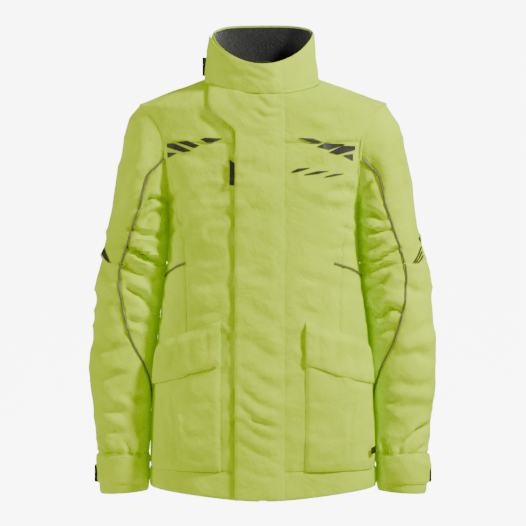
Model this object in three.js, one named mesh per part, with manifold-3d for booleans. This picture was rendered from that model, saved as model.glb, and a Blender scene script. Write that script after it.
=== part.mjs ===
// Foul weather jacket: sewn shell panels, collar, storm flap over a zip, bellows pockets,
// sleeves with closing cuff straps. Millimetres, +Z up, the front faces -Y.
// "right" and "left" are the wearer's own sides: right is -X, left is +X.
// Heights are counted from the hem; the finished group is moved to the hanger loop.

import * as THREE from "three";
import { mergeVertices } from "three/addons/utils/BufferGeometryUtils.js";
import Module from "manifold-3d";

const wasm = await Module();
wasm.setup();

// ---------------------------------------------------------------- driving dimensions

const neckHeight = 716; // hem level up to the neck seam at the side of the neck
const shoulderDrop = 42; // neck seam down to the shoulder tip
const armholeHeight = 174; // shoulder tip down to the armpit
const hemHalfWidth = 196;
const hipHalfWidth = 186;
const waistHalfWidth = 162;
const armpitHalfWidth = 163;
const shoulderHalfWidth = 211;
const neckHalfWidth = 97;
const hipHeight = 230;
const waistHeight = 436;
const zipFootDepth = 135; // how far the front lies before the side seam at the hem
const zipLean = 0.0673; // the front runs straight and back by this share of its height
const hemBackDepth = 105;
const chestBackDepth = 122;
const neckBackDepth = 80;
const frontNeckDip = 22; // the neck seam is lower at the throat
const backNeckRise = 6;
const hemRise = 18; // the hem is higher at the side seams
const hemBandHeight = 50;

const fabric = 3; // shell fabric with its padding
const seamGap = 0.6; // between two panels at a seam
const sleeveSeamGap = 1.1; // the sleeve's seams twist more
const layerGap = 0.9; // between two curved layers that lie on each other
const touchGap = 0.3; // between two layers that lie on each other
const liningThickness = 1.5;
const liningLoft = 3; // between the shell and its lining
const sleeveLoft = 5; // the same in a sleeve
const liningSetback = 26; // the lining ends at the front facing

const collarRimHalfWidth = 88;
const collarRimBackDepth = 62;
const collarRimBack = 90; // the rim above the side of the neck seam, at the nape
const collarRimFront = 34; // and at the throat

const flapSeamX = 36; // storm flap: the sewn edge
const flapEdgeX = -48; // and the free edge
const flapThickness = 2.5;
const flapStandOff = 4.8; // room under the flap for the slider and its pull
const collarFlapStandOff = 7;

const pocketInnerX = 72;
const pocketOuterAngle = 76;
const pocketTop = 306; // the pocket flap's seam at its inner end
const pocketSlope = 0.29; // the seam falls towards the side
const pocketFoot = 50;
const pocketMouthDrop = 16; // the mouth lies this far under the flap's seam
const pocketFlapHeight = 76;
const pocketDepthTop = 9.5;
const pocketDepthFoot = 14.5;
const pocketWall = 2.5;

const armGap = 3.5; // between the hanging sleeve and the side of the body
const sleeveLength = 670; // shoulder tip down to the cuff's end
const elbowWidth = 114;
const cuffWidth = 86;
const upperSleeveDepth = 150;
const elbowDepth = 132;
const elbowSplay = 25; // degrees that a bending forearm moves outwards
const cuffDepth = 100;
const cuffBandHeight = 72;
const strapHeight = 50;
const strapThickness = 2.5;

const tapeThickness = 0.8;
const tapeFace = 1.4; // how deep the tape lies between the front edges
const coilWidth = 2.8;
const coilThickness = 1.8;
const zipOpening = 13; // half the gap between the two front edges
const sliderLength = 14;
const sliderWidth = 11;
const sliderPlate = 1.5;
const pullLength = 16;
const pullWidth = 6;
const pullThickness = 1.2;

const labelWidth = 8;
const labelHeight = 31;
const labelThickness = 1;
const pipingWidth = 4;
const pipingThickness = 1.6;
const patchWidth = 20;
const patchHeight = 60;
const patchThickness = 1;
const loopSpan = 56; // hanger loop across the nape
const loopTape = 8;
const loopThickness = 1.5;
const loopBow = 10; // the finger room behind it

// ---------------------------------------------------------------- worked out from them

const deg = Math.PI / 180;
const shoulder = neckHeight - shoulderDrop;
const armpit = shoulder - armholeHeight;
const yokeSeam = armpit + armholeHeight * 0.63;
const armholeFront = 20 * deg; // how far the armhole is cut forwards and backwards
const armholeBack = 24 * deg;
const sleeveInward = new THREE.Vector3(0.964, 0, -0.266); // the way a sleeve leaves its armhole
const trimAngle = seamGap / 2 / 150; // half a seam gap, as an angle at the body's radius

const colours = {
  shell: [0xcfe04f, 0.62, 0],
  shellDark: [0xb9cc40, 0.66, 0],
  fleece: [0x1a1c14, 0.95, 0],
  lining: [0x9aa59a, 0.8, 0],
  hook: [0x23241f, 0.9, 0],
  label: [0x15160f, 0.55, 0],
  piping: [0x6e6a4e, 0.45, 0],
  tape: [0x2a2b22, 0.85, 0],
  coil: [0x1c1d18, 0.4, 0],
  metal: [0x8b8d8a, 0.35, 1],
};

const jacket = new THREE.Group();
jacket.name = "foul_weather_jacket";

/** Adds one named mesh in its own material. */
function addPiece(name, geometry, colour, parent = jacket) {
  const [color, roughness, metalness] = colours[colour];
  const material = new THREE.MeshStandardMaterial({ color, roughness, metalness });
  const mesh = new THREE.Mesh(geometry, material);
  mesh.name = name;
  parent.add(mesh);
  return mesh;
}

/** A smooth curve through [place, value] knots, as a function of the place. */
function profile(knots) {
  const slope = (i) => {
    const low = knots[Math.max(i - 1, 0)];
    const high = knots[Math.min(i + 1, knots.length - 1)];
    return (high[1] - low[1]) / (high[0] - low[0]);
  };
  return (place) => {
    const p = THREE.MathUtils.clamp(place, knots[0][0], knots[knots.length - 1][0]);
    let i = 0;
    while (i < knots.length - 2 && p > knots[i + 1][0]) i += 1;
    const span = knots[i + 1][0] - knots[i][0];
    const t = (p - knots[i][0]) / span;
    const bend = (slope(i) * (1 - t) - slope(i + 1) * t) * span;
    const rise = knots[i + 1][1] - knots[i][1];
    return knots[i][1] + rise * t + t * (1 - t) * (bend + rise * (2 * t - 1));
  };
}

/** A closed solid between two lifts of one surface. at(s, t, lift) gives the points. */
function shell(at, columns, rows, low, high, closed = false) {
  const across = closed ? columns : columns + 1;
  const places = [];
  for (const lift of [high, low]) {
    for (let j = 0; j <= rows; j += 1) {
      for (let i = 0; i < across; i += 1) {
        const s = i / columns;
        const t = j / rows;
        places.push(at(s, t, typeof lift === "function" ? lift(s, t) : lift));
      }
    }
  }
  const inside = across * (rows + 1);
  const faces = [];
  const quad = (a, b, c, d) => faces.push(a, b, c, a, c, d);
  for (let j = 0; j < rows; j += 1) {
    for (let i = 0; i < columns; i += 1) {
      const a = j * across + i;
      const b = j * across + ((i + 1) % across);
      const c = b + across;
      const d = a + across;
      quad(a, b, c, d);
      quad(inside + d, inside + c, inside + b, inside + a);
    }
  }
  for (let i = 0; i < columns; i += 1) {
    const a = i;
    const b = (i + 1) % across;
    const top = rows * across;
    quad(inside + a, inside + b, b, a);
    quad(top + a, top + b, inside + top + b, inside + top + a);
  }
  if (!closed) {
    for (let j = 0; j < rows; j += 1) {
      const a = j * across;
      const b = a + across;
      quad(a, b, inside + b, inside + a);
      quad(inside + a + columns, inside + b + columns, b + columns, a + columns);
    }
  }
  return solidGeometry(places, faces);
}

/** An indexed geometry, turned so that its faces point out. */
function solidGeometry(places, faces) {
  let volume = 0;
  const cross = new THREE.Vector3();
  for (let k = 0; k < faces.length; k += 3) {
    cross.crossVectors(places[faces[k + 1]], places[faces[k + 2]]);
    volume += places[faces[k]].dot(cross);
  }
  if (volume < 0) faces.reverse();
  const geometry = new THREE.BufferGeometry();
  const flat = places.flatMap((p) => [p.x, p.y, p.z]);
  geometry.setAttribute("position", new THREE.Float32BufferAttribute(flat, 3));
  geometry.setIndex(faces);
  return geometry;
}

/** A box between two corners. */
function block(low, high) {
  const size = high.map((value, k) => value - low[k]);
  const centre = high.map((value, k) => (value + low[k]) / 2);
  return new THREE.BoxGeometry(...size).translate(...centre);
}

function toManifold(geometry) {
  const bare = geometry.clone();
  bare.deleteAttribute("normal");
  bare.deleteAttribute("uv");
  const merged = mergeVertices(bare, 1e-4);
  const vertProperties = new Float32Array(merged.attributes.position.array);
  const triVerts = new Uint32Array(merged.index.array);
  return new wasm.Manifold(new wasm.Mesh({ numProp: 3, vertProperties, triVerts }));
}

/** What is left of one geometry when others are cut away. */
function cut(geometry, ...tools) {
  const rest = tools.reduce((body, tool) => body.subtract(toManifold(tool)), toManifold(geometry));
  const mesh = rest.getMesh();
  const result = new THREE.BufferGeometry();
  result.setAttribute("position", new THREE.BufferAttribute(mesh.vertProperties, 3));
  result.setIndex(new THREE.BufferAttribute(mesh.triVerts, 1));
  return result;
}

const mix = THREE.MathUtils.lerp;
const ease = THREE.MathUtils.smoothstep;

// ---------------------------------------------------------------- the body's surface

const bodyHalfWidth = profile([
  [0, hemHalfWidth],
  [130, mix(hemHalfWidth, hipHalfWidth, 0.4)],
  [hipHeight, hipHalfWidth],
  [mix(hipHeight, waistHeight, 0.4), mix(hipHalfWidth, waistHalfWidth, 0.4)],
  [mix(hipHeight, waistHeight, 0.75), mix(hipHalfWidth, waistHalfWidth, 0.82)],
  [waistHeight, waistHalfWidth],
  [armpit, armpitHalfWidth],
  [armpit + armholeHeight * 0.17, mix(armpitHalfWidth, shoulderHalfWidth, 0.24)],
  [armpit + armholeHeight * 0.35, mix(armpitHalfWidth, shoulderHalfWidth, 0.55)],
  [armpit + armholeHeight * 0.52, mix(armpitHalfWidth, shoulderHalfWidth, 0.83)],
  [armpit + armholeHeight * 0.7, mix(armpitHalfWidth, shoulderHalfWidth, 0.95)],
  [shoulder, shoulderHalfWidth],
]);
const bodyBackDepth = profile([
  [0, hemBackDepth],
  [hipHeight, hemBackDepth - 1],
  [waistHeight, mix(hemBackDepth, chestBackDepth, 0.4)],
  [armpit, mix(hemBackDepth, chestBackDepth, 0.8)],
  [armpit + armholeHeight * 0.35, chestBackDepth],
  [armpit + armholeHeight * 0.75, chestBackDepth - 3],
  [shoulder, chestBackDepth - 14],
  [neckHeight, neckBackDepth],
]);
const bodyCorner = profile([
  [0, 2.5],
  [armpit, 2.4],
  [armpit + armholeHeight * 0.6, 2.25],
  [shoulder, 2],
  [neckHeight, 2],
]);
const bodyFrontDip = profile([
  [0, 0],
  [armpit + armholeHeight * 0.5, 0],
  [shoulder, frontNeckDip * 0.4],
  [neckHeight, frontNeckDip],
]);

/** Half the body's width at a height counted along the side. */
function halfWidthAt(v) {
  if (v <= shoulder) return bodyHalfWidth(v);
  return mix(shoulderHalfWidth, neckHalfWidth, (v - shoulder) / shoulderDrop);
}

/** How far the straight front line lies before the side seams. */
function frontDepth(z) {
  return zipFootDepth - zipLean * z;
}

/** A rounded section: the radius at an angle from the front, by half width, depth and corner. */
function sectionRadius(angle, width, depth, corner) {
  const across = (Math.abs(Math.sin(angle)) / width) ** corner;
  const along = (Math.abs(Math.cos(angle)) / depth) ** corner;
  return (across + along) ** (-1 / corner);
}

function bodyBase(angle, v) {
  const forward = ((1 + Math.cos(angle)) / 2) ** 2;
  const backward = ((1 - Math.cos(angle)) / 2) ** 2;
  const nape = THREE.MathUtils.clamp((v - shoulder) / shoulderDrop, 0, 1);
  const z = v - bodyFrontDip(v) * forward + backNeckRise * nape * backward;
  const depth = Math.cos(angle) > 0 ? frontDepth(z) : bodyBackDepth(v);
  const r = sectionRadius(angle, halfWidthAt(v), depth, bodyCorner(v));
  return new THREE.Vector3(r * Math.sin(angle), -r * Math.cos(angle), z);
}

/** The outward normal of a surface base(a, b) by small steps both ways. */
function normalOf(base, a, b, stepA, stepB) {
  const alongA = base(a + stepA, b).sub(base(a - stepA, b));
  const alongB = base(a, b + stepB).sub(base(a, b - stepB));
  return alongA.cross(alongB).normalize();
}

/** A point on the body, lifted off it along its normal. Angle 0 is the front, + is left. */
function bodyPoint(angle, v, lift) {
  const step = Math.min(4, neckHeight - v + 0.5);
  return bodyBase(angle, v).addScaledVector(normalOf(bodyBase, angle, v, 0.02, step), lift);
}

/** The angle at which the front has a given x. */
function angleAt(x, v) {
  const corner = bodyCorner(v);
  const share = Math.min(Math.abs(x) / halfWidthAt(v), 0.999) ** corner;
  const y = frontDepth(v - bodyFrontDip(v)) * (1 - share) ** (1 / corner);
  return Math.sign(x) * Math.atan2(Math.abs(x), y);
}

/** The angle of the armhole's edge (or side or shoulder seam); way -1 is its front, 1 its back. */
function edgeAngle(v, way) {
  const k = (2 * (v - armpit)) / armholeHeight - 1;
  const open = Math.sqrt(Math.max(0, 1 - k * k));
  return 90 * deg + way * open * (way < 0 ? armholeFront : armholeBack);
}

/** The height of the armhole's edge at an angle round it: 0 at the shoulder, 90 at the front. */
function armholeLevel(round) {
  return armpit + (armholeHeight * (1 + Math.cos(round))) / 2;
}

/** The hem's level and the top of its band, by angle. */
function hemLevel(angle) {
  return hemRise * Math.sin(angle) ** 2;
}

function hemBandTop(angle) {
  return mix(hemBandHeight, hemBandHeight + 4, Math.sin(angle) ** 2);
}

/** The front princess seam, as an angle. */
function princessAngle(v) {
  const x = profile([
    [0, pocketInnerX + 60],
    [hipHeight, pocketInnerX + 60],
    [waistHeight - 30, pocketInnerX + 63],
    [armpit, armpitHalfWidth - 16],
    [armpit + armholeHeight * 0.42, armpitHalfWidth - 3],
  ])(v);
  return angleAt(x, v);
}

/** The v of row t in a list of levels, which are numbers or functions of the angle. */
function levelAt(levels, t, angle) {
  const k = Math.min(Math.floor(t * (levels.length - 1)), levels.length - 2);
  const value = (level) => (typeof level === "function" ? level(angle) : level);
  return mix(value(levels[k]), value(levels[k + 1]), t * (levels.length - 1) - k);
}

/** A panel of the body between two angles that may change with the level. */
function bodyPanel(from, to, levels, columns, low, high, trim = trimAngle) {
  const at = (s, t, lift) => {
    const middle = levelAt(levels, t, 90 * deg);
    const angle = mix(from(middle) + trim, to(middle) - trim, s);
    return bodyPoint(angle, levelAt(levels, t, angle), lift);
  };
  return shell(at, columns, levels.length - 1, low, high);
}

/** Levels through the armhole, at even steps round it, between two of those steps. */
function armholeLevels(first, last) {
  const levels = [];
  for (let round = first; round >= last; round -= 15) levels.push(armholeLevel(round * deg));
  return levels;
}

const yokeRound = 75; // the yoke seam's place round the armhole, in degrees
const roofLevels = [0.25, 0.5, 0.75, 1].map((k) => shoulder + k * shoulderDrop);
const bodyLevels = [
  (angle) => hemBandTop(angle) + seamGap,
  mix(hemBandHeight, hipHeight, 0.5),
  hipHeight,
  mix(hipHeight, waistHeight, 0.3),
  mix(hipHeight, waistHeight, 0.55),
  mix(hipHeight, waistHeight, 0.78),
  waistHeight,
];

function addFronts() {
  for (const [name, side] of [["right", -1], ["left", 1]]) {
    const zipEdge = (v) => angleAt(zipOpening, v);
    const armEdge = (v) => edgeAngle(v, -1);
    const place = (from, to) =>
      side > 0 ? [from, to] : [(v) => -to(v), (v) => -from(v)];
    const yokeLevels = [...armholeLevels(yokeRound, 0), ...roofLevels];
    yokeLevels[0] += seamGap / 2;
    yokeLevels[yokeLevels.length - 1] -= seamGap / 2;
    const yoke = bodyPanel(...place(zipEdge, armEdge), yokeLevels, 8, -fabric, 0);
    addPiece(`${name}_front_yoke`, yoke, "shell");

    const frontLevels = [...bodyLevels, ...armholeLevels(180, yokeRound)];
    frontLevels[frontLevels.length - 1] -= seamGap / 2;
    const sideTop = armholeLevel(105 * deg);
    const outer = (v) => (v < sideTop ? princessAngle(v) : armEdge(v));
    const front = bodyPanel(...place(zipEdge, outer), frontLevels, 5, -fabric, 0);
    addPiece(`${name}_front_panel`, front, "shell");

    const sideLevels = [...bodyLevels, ...armholeLevels(180, 120)];
    const sidePanel = bodyPanel(...place(princessAngle, armEdge), sideLevels, 3, -fabric, 0);
    addPiece(`${name}_side_front`, sidePanel, "shellDark");

    const hemLevels = [(angle) => hemLevel(angle), (angle) => hemBandTop(angle)];
    const hem = bodyPanel(...place(zipEdge, armEdge), hemLevels, 8, -fabric, 0);
    addPiece(`${name}_front_hem_band`, hem, "shell");
  }
}

function addBack() {
  const right = (v) => edgeAngle(v, 1);
  const left = (v) => 360 * deg - edgeAngle(v, 1);
  const yokeLevels = [...armholeLevels(yokeRound, 0), ...roofLevels];
  yokeLevels[0] += seamGap / 2;
  yokeLevels[yokeLevels.length - 1] -= seamGap / 2;
  addPiece("back_yoke", bodyPanel(right, left, yokeLevels, 12, -fabric, 0), "shell");
  const backLevels = [...bodyLevels, ...armholeLevels(180, yokeRound)];
  backLevels[backLevels.length - 1] -= seamGap / 2;
  addPiece("back_panel", bodyPanel(right, left, backLevels, 12, -fabric, 0), "shell");
  const hemLevels = [(angle) => hemLevel(angle), (angle) => hemBandTop(angle)];
  addPiece("back_hem_band", bodyPanel(right, left, hemLevels, 12, -fabric, 0), "shell");
}

function addLinings() {
  const high = -fabric - liningLoft;
  const low = high - liningThickness;
  const margin = 0.03; // the lining stops short of the armhole's edge
  const levels = [
    (angle) => hemLevel(angle) + hemBandHeight * 0.4,
    ...bodyLevels.slice(2),
    ...armholeLevels(180, 30),
  ];
  const edge = (v) => angleAt(liningSetback, v);
  const armEdge = (v) => edgeAngle(v, -1);
  const left = bodyPanel(edge, armEdge, levels, 8, low, high, margin);
  addPiece("left_front_lining", left, "lining");
  const mirrored = bodyPanel((v) => -armEdge(v), (v) => -edge(v), levels, 8, low, high, margin);
  addPiece("right_front_lining", mirrored, "lining");
  const from = (v) => edgeAngle(v, 1);
  const to = (v) => 360 * deg - edgeAngle(v, 1);
  addPiece("back_lining", bodyPanel(from, to, levels, 12, low, high, margin), "lining");
}

// ---------------------------------------------------------------- collar

const rimFrontZ = neckHeight + collarRimFront;
const rimBackZ = neckHeight + collarRimBack;

/** The collar's surface; up is 0 at the neck seam and 1 at the rim. */
function collarBase(angle, up) {
  const foot = bodyBase(angle, neckHeight);
  const rim = rimBackZ - (rimBackZ - rimFrontZ) * ((1 + Math.cos(angle)) / 2) ** 2.2;
  const z = mix(foot.z + seamGap, rim, up);
  const forward = Math.cos(angle) > 0;
  const depth = forward ? frontDepth(z) : mix(neckBackDepth, collarRimBackDepth, up);
  const width = mix(neckHalfWidth, collarRimHalfWidth, up);
  const r = sectionRadius(angle, width, depth, 2);
  return new THREE.Vector3(r * Math.sin(angle), -r * Math.cos(angle), z);
}

function collarPoint(angle, up, lift) {
  const normal = normalOf(collarBase, angle, THREE.MathUtils.clamp(up, 0.1, 0.9), 0.03, 0.1);
  return collarBase(angle, up).addScaledVector(normal, lift);
}

function addCollar() {
  const start = Math.atan2(zipOpening, frontDepth(rimFrontZ));
  const at = (s, t, lift) => collarPoint(mix(start, 360 * deg - start, s), t, lift);
  addPiece("collar_outer", shell(at, 22, 2, -fabric, 0), "shell");
  const inner = (s, t, lift) => at(s, mix(0.02, 0.98, t), lift);
  const high = -fabric - layerGap;
  addPiece("collar_lining", shell(inner, 22, 2, high - 2 * liningThickness, high), "fleece");
}

// ---------------------------------------------------------------- storm flap

/** The flap's free edge, running out to the side of the neck at its top. */
const flapEdge = profile([
  [0, flapEdgeX],
  [armpit + armholeHeight * 0.7, flapEdgeX],
  [armpit + armholeHeight * 0.79, flapEdgeX - 4],
  [shoulder - 2, -neckHalfWidth + 8],
  [neckHeight, -neckHalfWidth + 5],
]);

/** How far the flap's inner face stands off; it comes down to the front at its sewn edge. */
function flapLift(s, standOff, rise) {
  return layerGap + (standOff - layerGap) * ease(s, 0, rise);
}

function addStormFlap() {
  const levels = [2, 110, 230, 350, 470, 560].map((v) => (v / 716) * neckHeight);
  levels.push(armpit + armholeHeight * 0.7, armpit + armholeHeight * 0.79, shoulder - 12);
  levels.push(shoulder - 2, mix(shoulder, neckHeight, 0.5));
  levels.push((angle) => neckHeight - 1.5 - 9 * Math.sin(angle) ** 2);
  const at = (s, t, lift) => {
    const x = mix(flapSeamX, flapEdge(levelAt(levels, t, 0)), s);
    const angle = angleAt(x, levelAt(levels, t, 0));
    return bodyPoint(angle, levelAt(levels, t, angle), lift);
  };
  const inner = (s) => flapLift(s, flapStandOff, 0.3);
  const outer = (s) => inner(s) + flapThickness;
  addPiece("storm_flap", shell(at, 6, levels.length - 1, inner, outer), "shell");

  const collarAt = (s, t, lift) => {
    const seam = Math.asin(flapSeamX / neckHalfWidth);
    return collarPoint(mix(seam, -88 * deg, s), mix(0.01, 1, t), lift);
  };
  const innerCollar = (s) => flapLift(s, mix(collarFlapStandOff, 3, ease(s, 0.4, 0.9)), 0.13);
  const outerCollar = (s) => innerCollar(s) + flapThickness;
  addPiece("collar_flap", shell(collarAt, 8, 2, innerCollar, outerCollar), "shell");

  const hookOuter = flapStandOff - touchGap;
  const hookInner = patchThickness + 2 * touchGap + 0.2;
  for (const [k, level] of [0.19, 0.62].entries()) {
    const foot = level * neckHeight;
    const patch = (s, t, lift) => {
      const v = mix(foot, foot + patchHeight, t);
      return bodyPoint(angleAt(flapEdgeX + 3 + patchWidth * s, v), v, lift);
    };
    const loop = shell(patch, 2, 2, touchGap, touchGap + patchThickness);
    addPiece(`flap_loop_patch_${k + 1}`, loop, "hook");
    addPiece(`flap_hook_patch_${k + 1}`, shell(patch, 2, 2, hookInner, hookOuter), "hook");
  }

  const labelFoot = armpit + armholeHeight * 0.22;
  const label = (s, t, lift) => {
    const v = mix(labelFoot, labelFoot + labelHeight * 1.4, t);
    return bodyPoint(angleAt(flapEdgeX - touchGap - labelWidth * s, v), v, lift);
  };
  const labelLow = flapStandOff + 0.5;
  addPiece("flap_label", shell(label, 1, 1, labelLow, labelLow + labelThickness), "label");
  const collarLabel = (s, t, lift) =>
    collarPoint(mix(-76 * deg, -85 * deg, s), mix(0.2, 0.58, t), lift);
  const collarLow = 3 + flapThickness + touchGap;
  const onCollar = shell(collarLabel, 1, 1, collarLow, collarLow + labelThickness);
  addPiece("collar_label", onCollar, "label");
}

// ---------------------------------------------------------------- zip

const zipGroup = new THREE.Group(); // local z runs up the zip, -y is outwards
zipGroup.position.set(0, -zipFootDepth, 0);
zipGroup.rotation.x = -Math.atan(zipLean);
jacket.add(zipGroup);
const zipScale = Math.hypot(1, zipLean);
const zipTop = (rimFrontZ - 8) * zipScale;
const retainerFoot = 6;
const retainerLength = 12;
const sliderTop = zipTop - 6;
const coilFace = tapeFace - touchGap - coilThickness;
const pullFace = coilFace - 2 * touchGap - sliderPlate;
const pullTop = sliderTop - 2;

function addZip() {
  const foot = retainerFoot + retainerLength + touchGap;
  for (const [name, side] of [["right", -1], ["left", 1]]) {
    const edge = zipOpening - touchGap;
    const tape = block([touchGap, tapeFace, foot], [edge, tapeFace + tapeThickness, zipTop]);
    const coil = block([touchGap, coilFace, foot], [touchGap + coilWidth, tapeFace - touchGap, zipTop]);
    for (const [piece, geometry] of [["tape", tape], ["coil", coil]]) {
      if (side < 0) geometry.rotateZ(Math.PI).translate(0, 2 * middleOf(geometry), 0);
      addPiece(`${name}_zip_${piece}`, geometry, piece, zipGroup);
    }
  }
  const half = coilWidth * 2;
  const box = block([-half, -1, retainerFoot], [half, tapeFace, retainerFoot + retainerLength]);
  addPiece("zip_retainer_box", box, "coil", zipGroup);

  const body = block(
    [-sliderWidth / 2, coilFace - touchGap - sliderPlate, sliderTop - sliderLength],
    [sliderWidth / 2, tapeFace - touchGap, sliderTop],
  );
  const reach = coilWidth + 0.6;
  const channel = block([-reach, coilFace - touchGap, 0], [reach, 2 * tapeFace, 2 * zipTop]);
  addPiece("zip_slider", cut(body, channel), "metal", zipGroup);
  const pull = block(
    [-pullWidth / 2, pullFace - pullThickness, pullTop - pullLength],
    [pullWidth / 2, pullFace, pullTop],
  );
  addPiece("zip_pull", pull, "metal", zipGroup);
}

/** Where a block that was turned half round the z axis goes back to in y. */
function middleOf(geometry) {
  geometry.computeBoundingBox();
  return -(geometry.boundingBox.min.y + geometry.boundingBox.max.y) / 2;
}

// ---------------------------------------------------------------- bellows pockets

/** The pocket flap's seam at an angle on the front. */
function pocketSeam(angle) {
  const x = Math.abs(bodyBase(angle, pocketTop).x);
  return pocketTop - pocketSlope * (x - pocketInnerX);
}

function pocketPlace(side, s, v) {
  return side * mix(angleAt(pocketInnerX, v), pocketOuterAngle * deg, s);
}

/** How far a pocket's face stands off the body: deeper towards its foot. */
function pocketDepth(t) {
  return mix(pocketDepthFoot, pocketDepthTop, t);
}

function addPockets() {
  for (const [name, side] of [["right", -1], ["left", 1]]) {
    const mouth = (angle) => pocketSeam(angle) - pocketMouthDrop;
    const at = (s, t, lift) => {
      const guess = mix(pocketFoot, pocketTop, t);
      const angle = pocketPlace(side, s, guess);
      return bodyPoint(angle, mix(pocketFoot, mouth(angle), t), lift);
    };
    const wide = 0.022; // the side walls, as a share of the pocket's width
    const tall = pocketWall / (pocketTop - pocketFoot);
    const hollowAt = (s, t, lift) => at(mix(wide, 1 - wide, s), mix(tall, 1.05, t), lift);
    const outer = shell(at, 6, 4, layerGap, (s, t) => pocketDepth(t));
    const hollow = shell(hollowAt, 6, 4, -2, (s, t) => pocketDepth(t) - pocketWall);
    addPiece(`${name}_pocket_bag`, cut(outer, hollow), "shell");

    const flapAt = (s, t, lift) => {
      const angle = pocketPlace(side, mix(-0.02, 1.01, s), pocketTop - pocketFlapHeight * t);
      return bodyPoint(angle, pocketSeam(angle) - pocketFlapHeight * t, lift);
    };
    const drop = pocketMouthDrop / pocketFlapHeight;
    const share = (t) => 1 - (t * pocketFlapHeight - pocketMouthDrop) / (pocketTop - pocketFoot);
    const inner = (s, t) => {
      const over = pocketDepth(Math.min(share(t), 1)) + 1.2;
      return layerGap + (over - layerGap) * Math.min(t / drop, 1);
    };
    const flap = shell(flapAt, 6, 5, inner, (s, t) => inner(s, t) + fabric - 0.5);
    addPiece(`${name}_pocket_flap`, flap, "shell");
  }
}

function addHemLabel() {
  const foot = pocketFoot + 24;
  const label = (s, t, lift) => {
    const angle = pocketPlace(1, mix(0.8, 0.87, s), foot);
    return bodyPoint(angle, mix(foot, foot + 11, t), lift);
  };
  const low = pocketDepth(0.12) + touchGap;
  addPiece("hem_flag_label", shell(label, 1, 1, low, low + labelThickness), "label");
}

function addHipPiping() {
  for (const [name, side] of [["right", -1], ["left", 1]]) {
    const start = angleAt(134, waistHeight - 34);
    const at = (s, t, lift) => {
      const angle = side * mix(start, 90 * deg, t);
      return bodyPoint(angle, waistHeight - 32 - 22 * t + pipingWidth * s, lift);
    };
    const piping = shell(at, 1, 5, layerGap, layerGap + pipingThickness);
    addPiece(`${name}_hip_piping`, piping, "piping");
  }
}

// ---------------------------------------------------------------- sleeves

// Ring by ring from the armhole: how far the outer edge lies under the shoulder tip and the
// inner edge under the armpit, the width between them, the depth front to back, the middle
// of that depth, and the room beyond the arm gap.
const sleeveDrop = sleeveLength - armholeHeight;
const sleeveRings = [
  [0, 0, shoulderHalfWidth - armpitHalfWidth, 136, 8, 0],
  [0.04, 0.006, 65, 142, 9, -1],
  [0.09, 0.016, 75, 147, 11, 1],
  [0.155, 0.03, 85, upperSleeveDepth, 13, 3],
  [0.22, 0.052, 92, upperSleeveDepth, 15, 5],
  [0.275, 0.085, 99, 148, 16, 6],
  [0.345, 0.14, 107, 142, 17, 6],
  [0.405, 0.205, elbowWidth, elbowDepth, 18, 5],
  [0.47, 0.29, elbowWidth + 1, elbowDepth - 4, 16, 3],
  [0.585, 0.44, elbowWidth - 2, elbowDepth - 8, 12, 0],
  [0.67, 0.56, elbowWidth - 4, elbowDepth - 14, 8, 0],
  [0.797, 0.735, mix(elbowWidth, cuffWidth, 0.6), mix(elbowDepth, cuffDepth, 0.7), 0, 0],
  [1 - cuffBandHeight / sleeveLength, 1 - cuffBandHeight / sleeveDrop, cuffWidth + 4, cuffDepth + 4, -6, 0],
  [1, 1 - 6 / sleeveDrop, cuffWidth, cuffDepth, -10, 0],
];
const elbowRing = 7;
const bandRing = 12;
const cuffRing = 13;

/** One ring of the left sleeve: its middle and its two half axes. */
function sleeveRing(index) {
  const k = Math.min(Math.floor(index), sleeveRings.length - 2);
  const row = sleeveRings[k].map((value, c) => mix(value, sleeveRings[k + 1][c], index - k));
  const [outerDrop, innerDrop, width, depth, middle, room] = row;
  const innerZ = armpit - innerDrop * sleeveDrop;
  const outerZ = shoulder - outerDrop * sleeveLength;
  const start = THREE.MathUtils.clamp(index, 0, 1);
  const innerX = mix(armpitHalfWidth, halfWidthAt(Math.max(innerZ, 0)) + armGap + room, start);
  const centre = new THREE.Vector3(innerX + width / 2, middle, (innerZ + outerZ) / 2);
  const half = new THREE.Vector3(width / 2, 0, (outerZ - innerZ) / 2);
  return { centre, half, depth: depth / 2 };
}

/** The sleeve's surface: round is 0 on the outer side, 90 degrees in front, 180 inside. */
function sleeveBase(round, index) {
  const ring = sleeveRing(Math.max(index, 1));
  const p = ring.centre.clone().addScaledVector(ring.half, Math.cos(round));
  p.y -= ring.depth * Math.sin(round);
  if (index >= 1) return p;
  const v = armholeLevel(round);
  const edge = bodyBase(edgeAngle(v, Math.sin(round) > 0 ? -1 : 1), v);
  return edge.addScaledVector(sleeveInward, seamGap + 0.4).lerp(p, Math.max(index, 0));
}

function sleevePoint(side, round, index, lift) {
  const middle = THREE.MathUtils.clamp(index, 0.3, cuffRing - 0.3);
  const normal = normalOf(sleeveBase, round, middle, 0.05, 0.3);
  if (index < 1) {
    const v = armholeLevel(round);
    const way = Math.sin(round) > 0 ? -1 : 1;
    const onBody = normalOf(bodyBase, edgeAngle(v, way), Math.min(v, neckHeight - 5), 0.02, 4);
    const share = Math.max(0, Math.cos(round)) * (1 - Math.max(index, 0));
    normal.lerp(onBody, share).normalize();
  }
  const p = sleeveBase(round, index).addScaledVector(normal, lift);
  p.x *= side;
  return p;
}

/** The piped seam down the front of the sleeve, crossing to the inner side at the forearm. */
const pipedSeam = profile([
  [0, 90],
  [4, 87],
  [elbowRing, 70],
  [8, 72],
  [9, 96],
  [10, 132],
  [11, 186],
  [12, 186],
  [cuffRing, 186],
]);
const backSeam = 195;

/** A sleeve panel between two seams, from one ring to another. */
function sleevePanel(side, from, to, start, end, columns, rows, low, high) {
  const trim = sleeveSeamGap / 2 / 60;
  const at = (s, t, lift) => {
    const index = mix(start, end, t);
    const round = mix(from(index) * deg + trim, to(index) * deg - trim, s);
    return sleevePoint(side, round, index, lift);
  };
  return shell(at, columns, rows, low, high);
}

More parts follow.
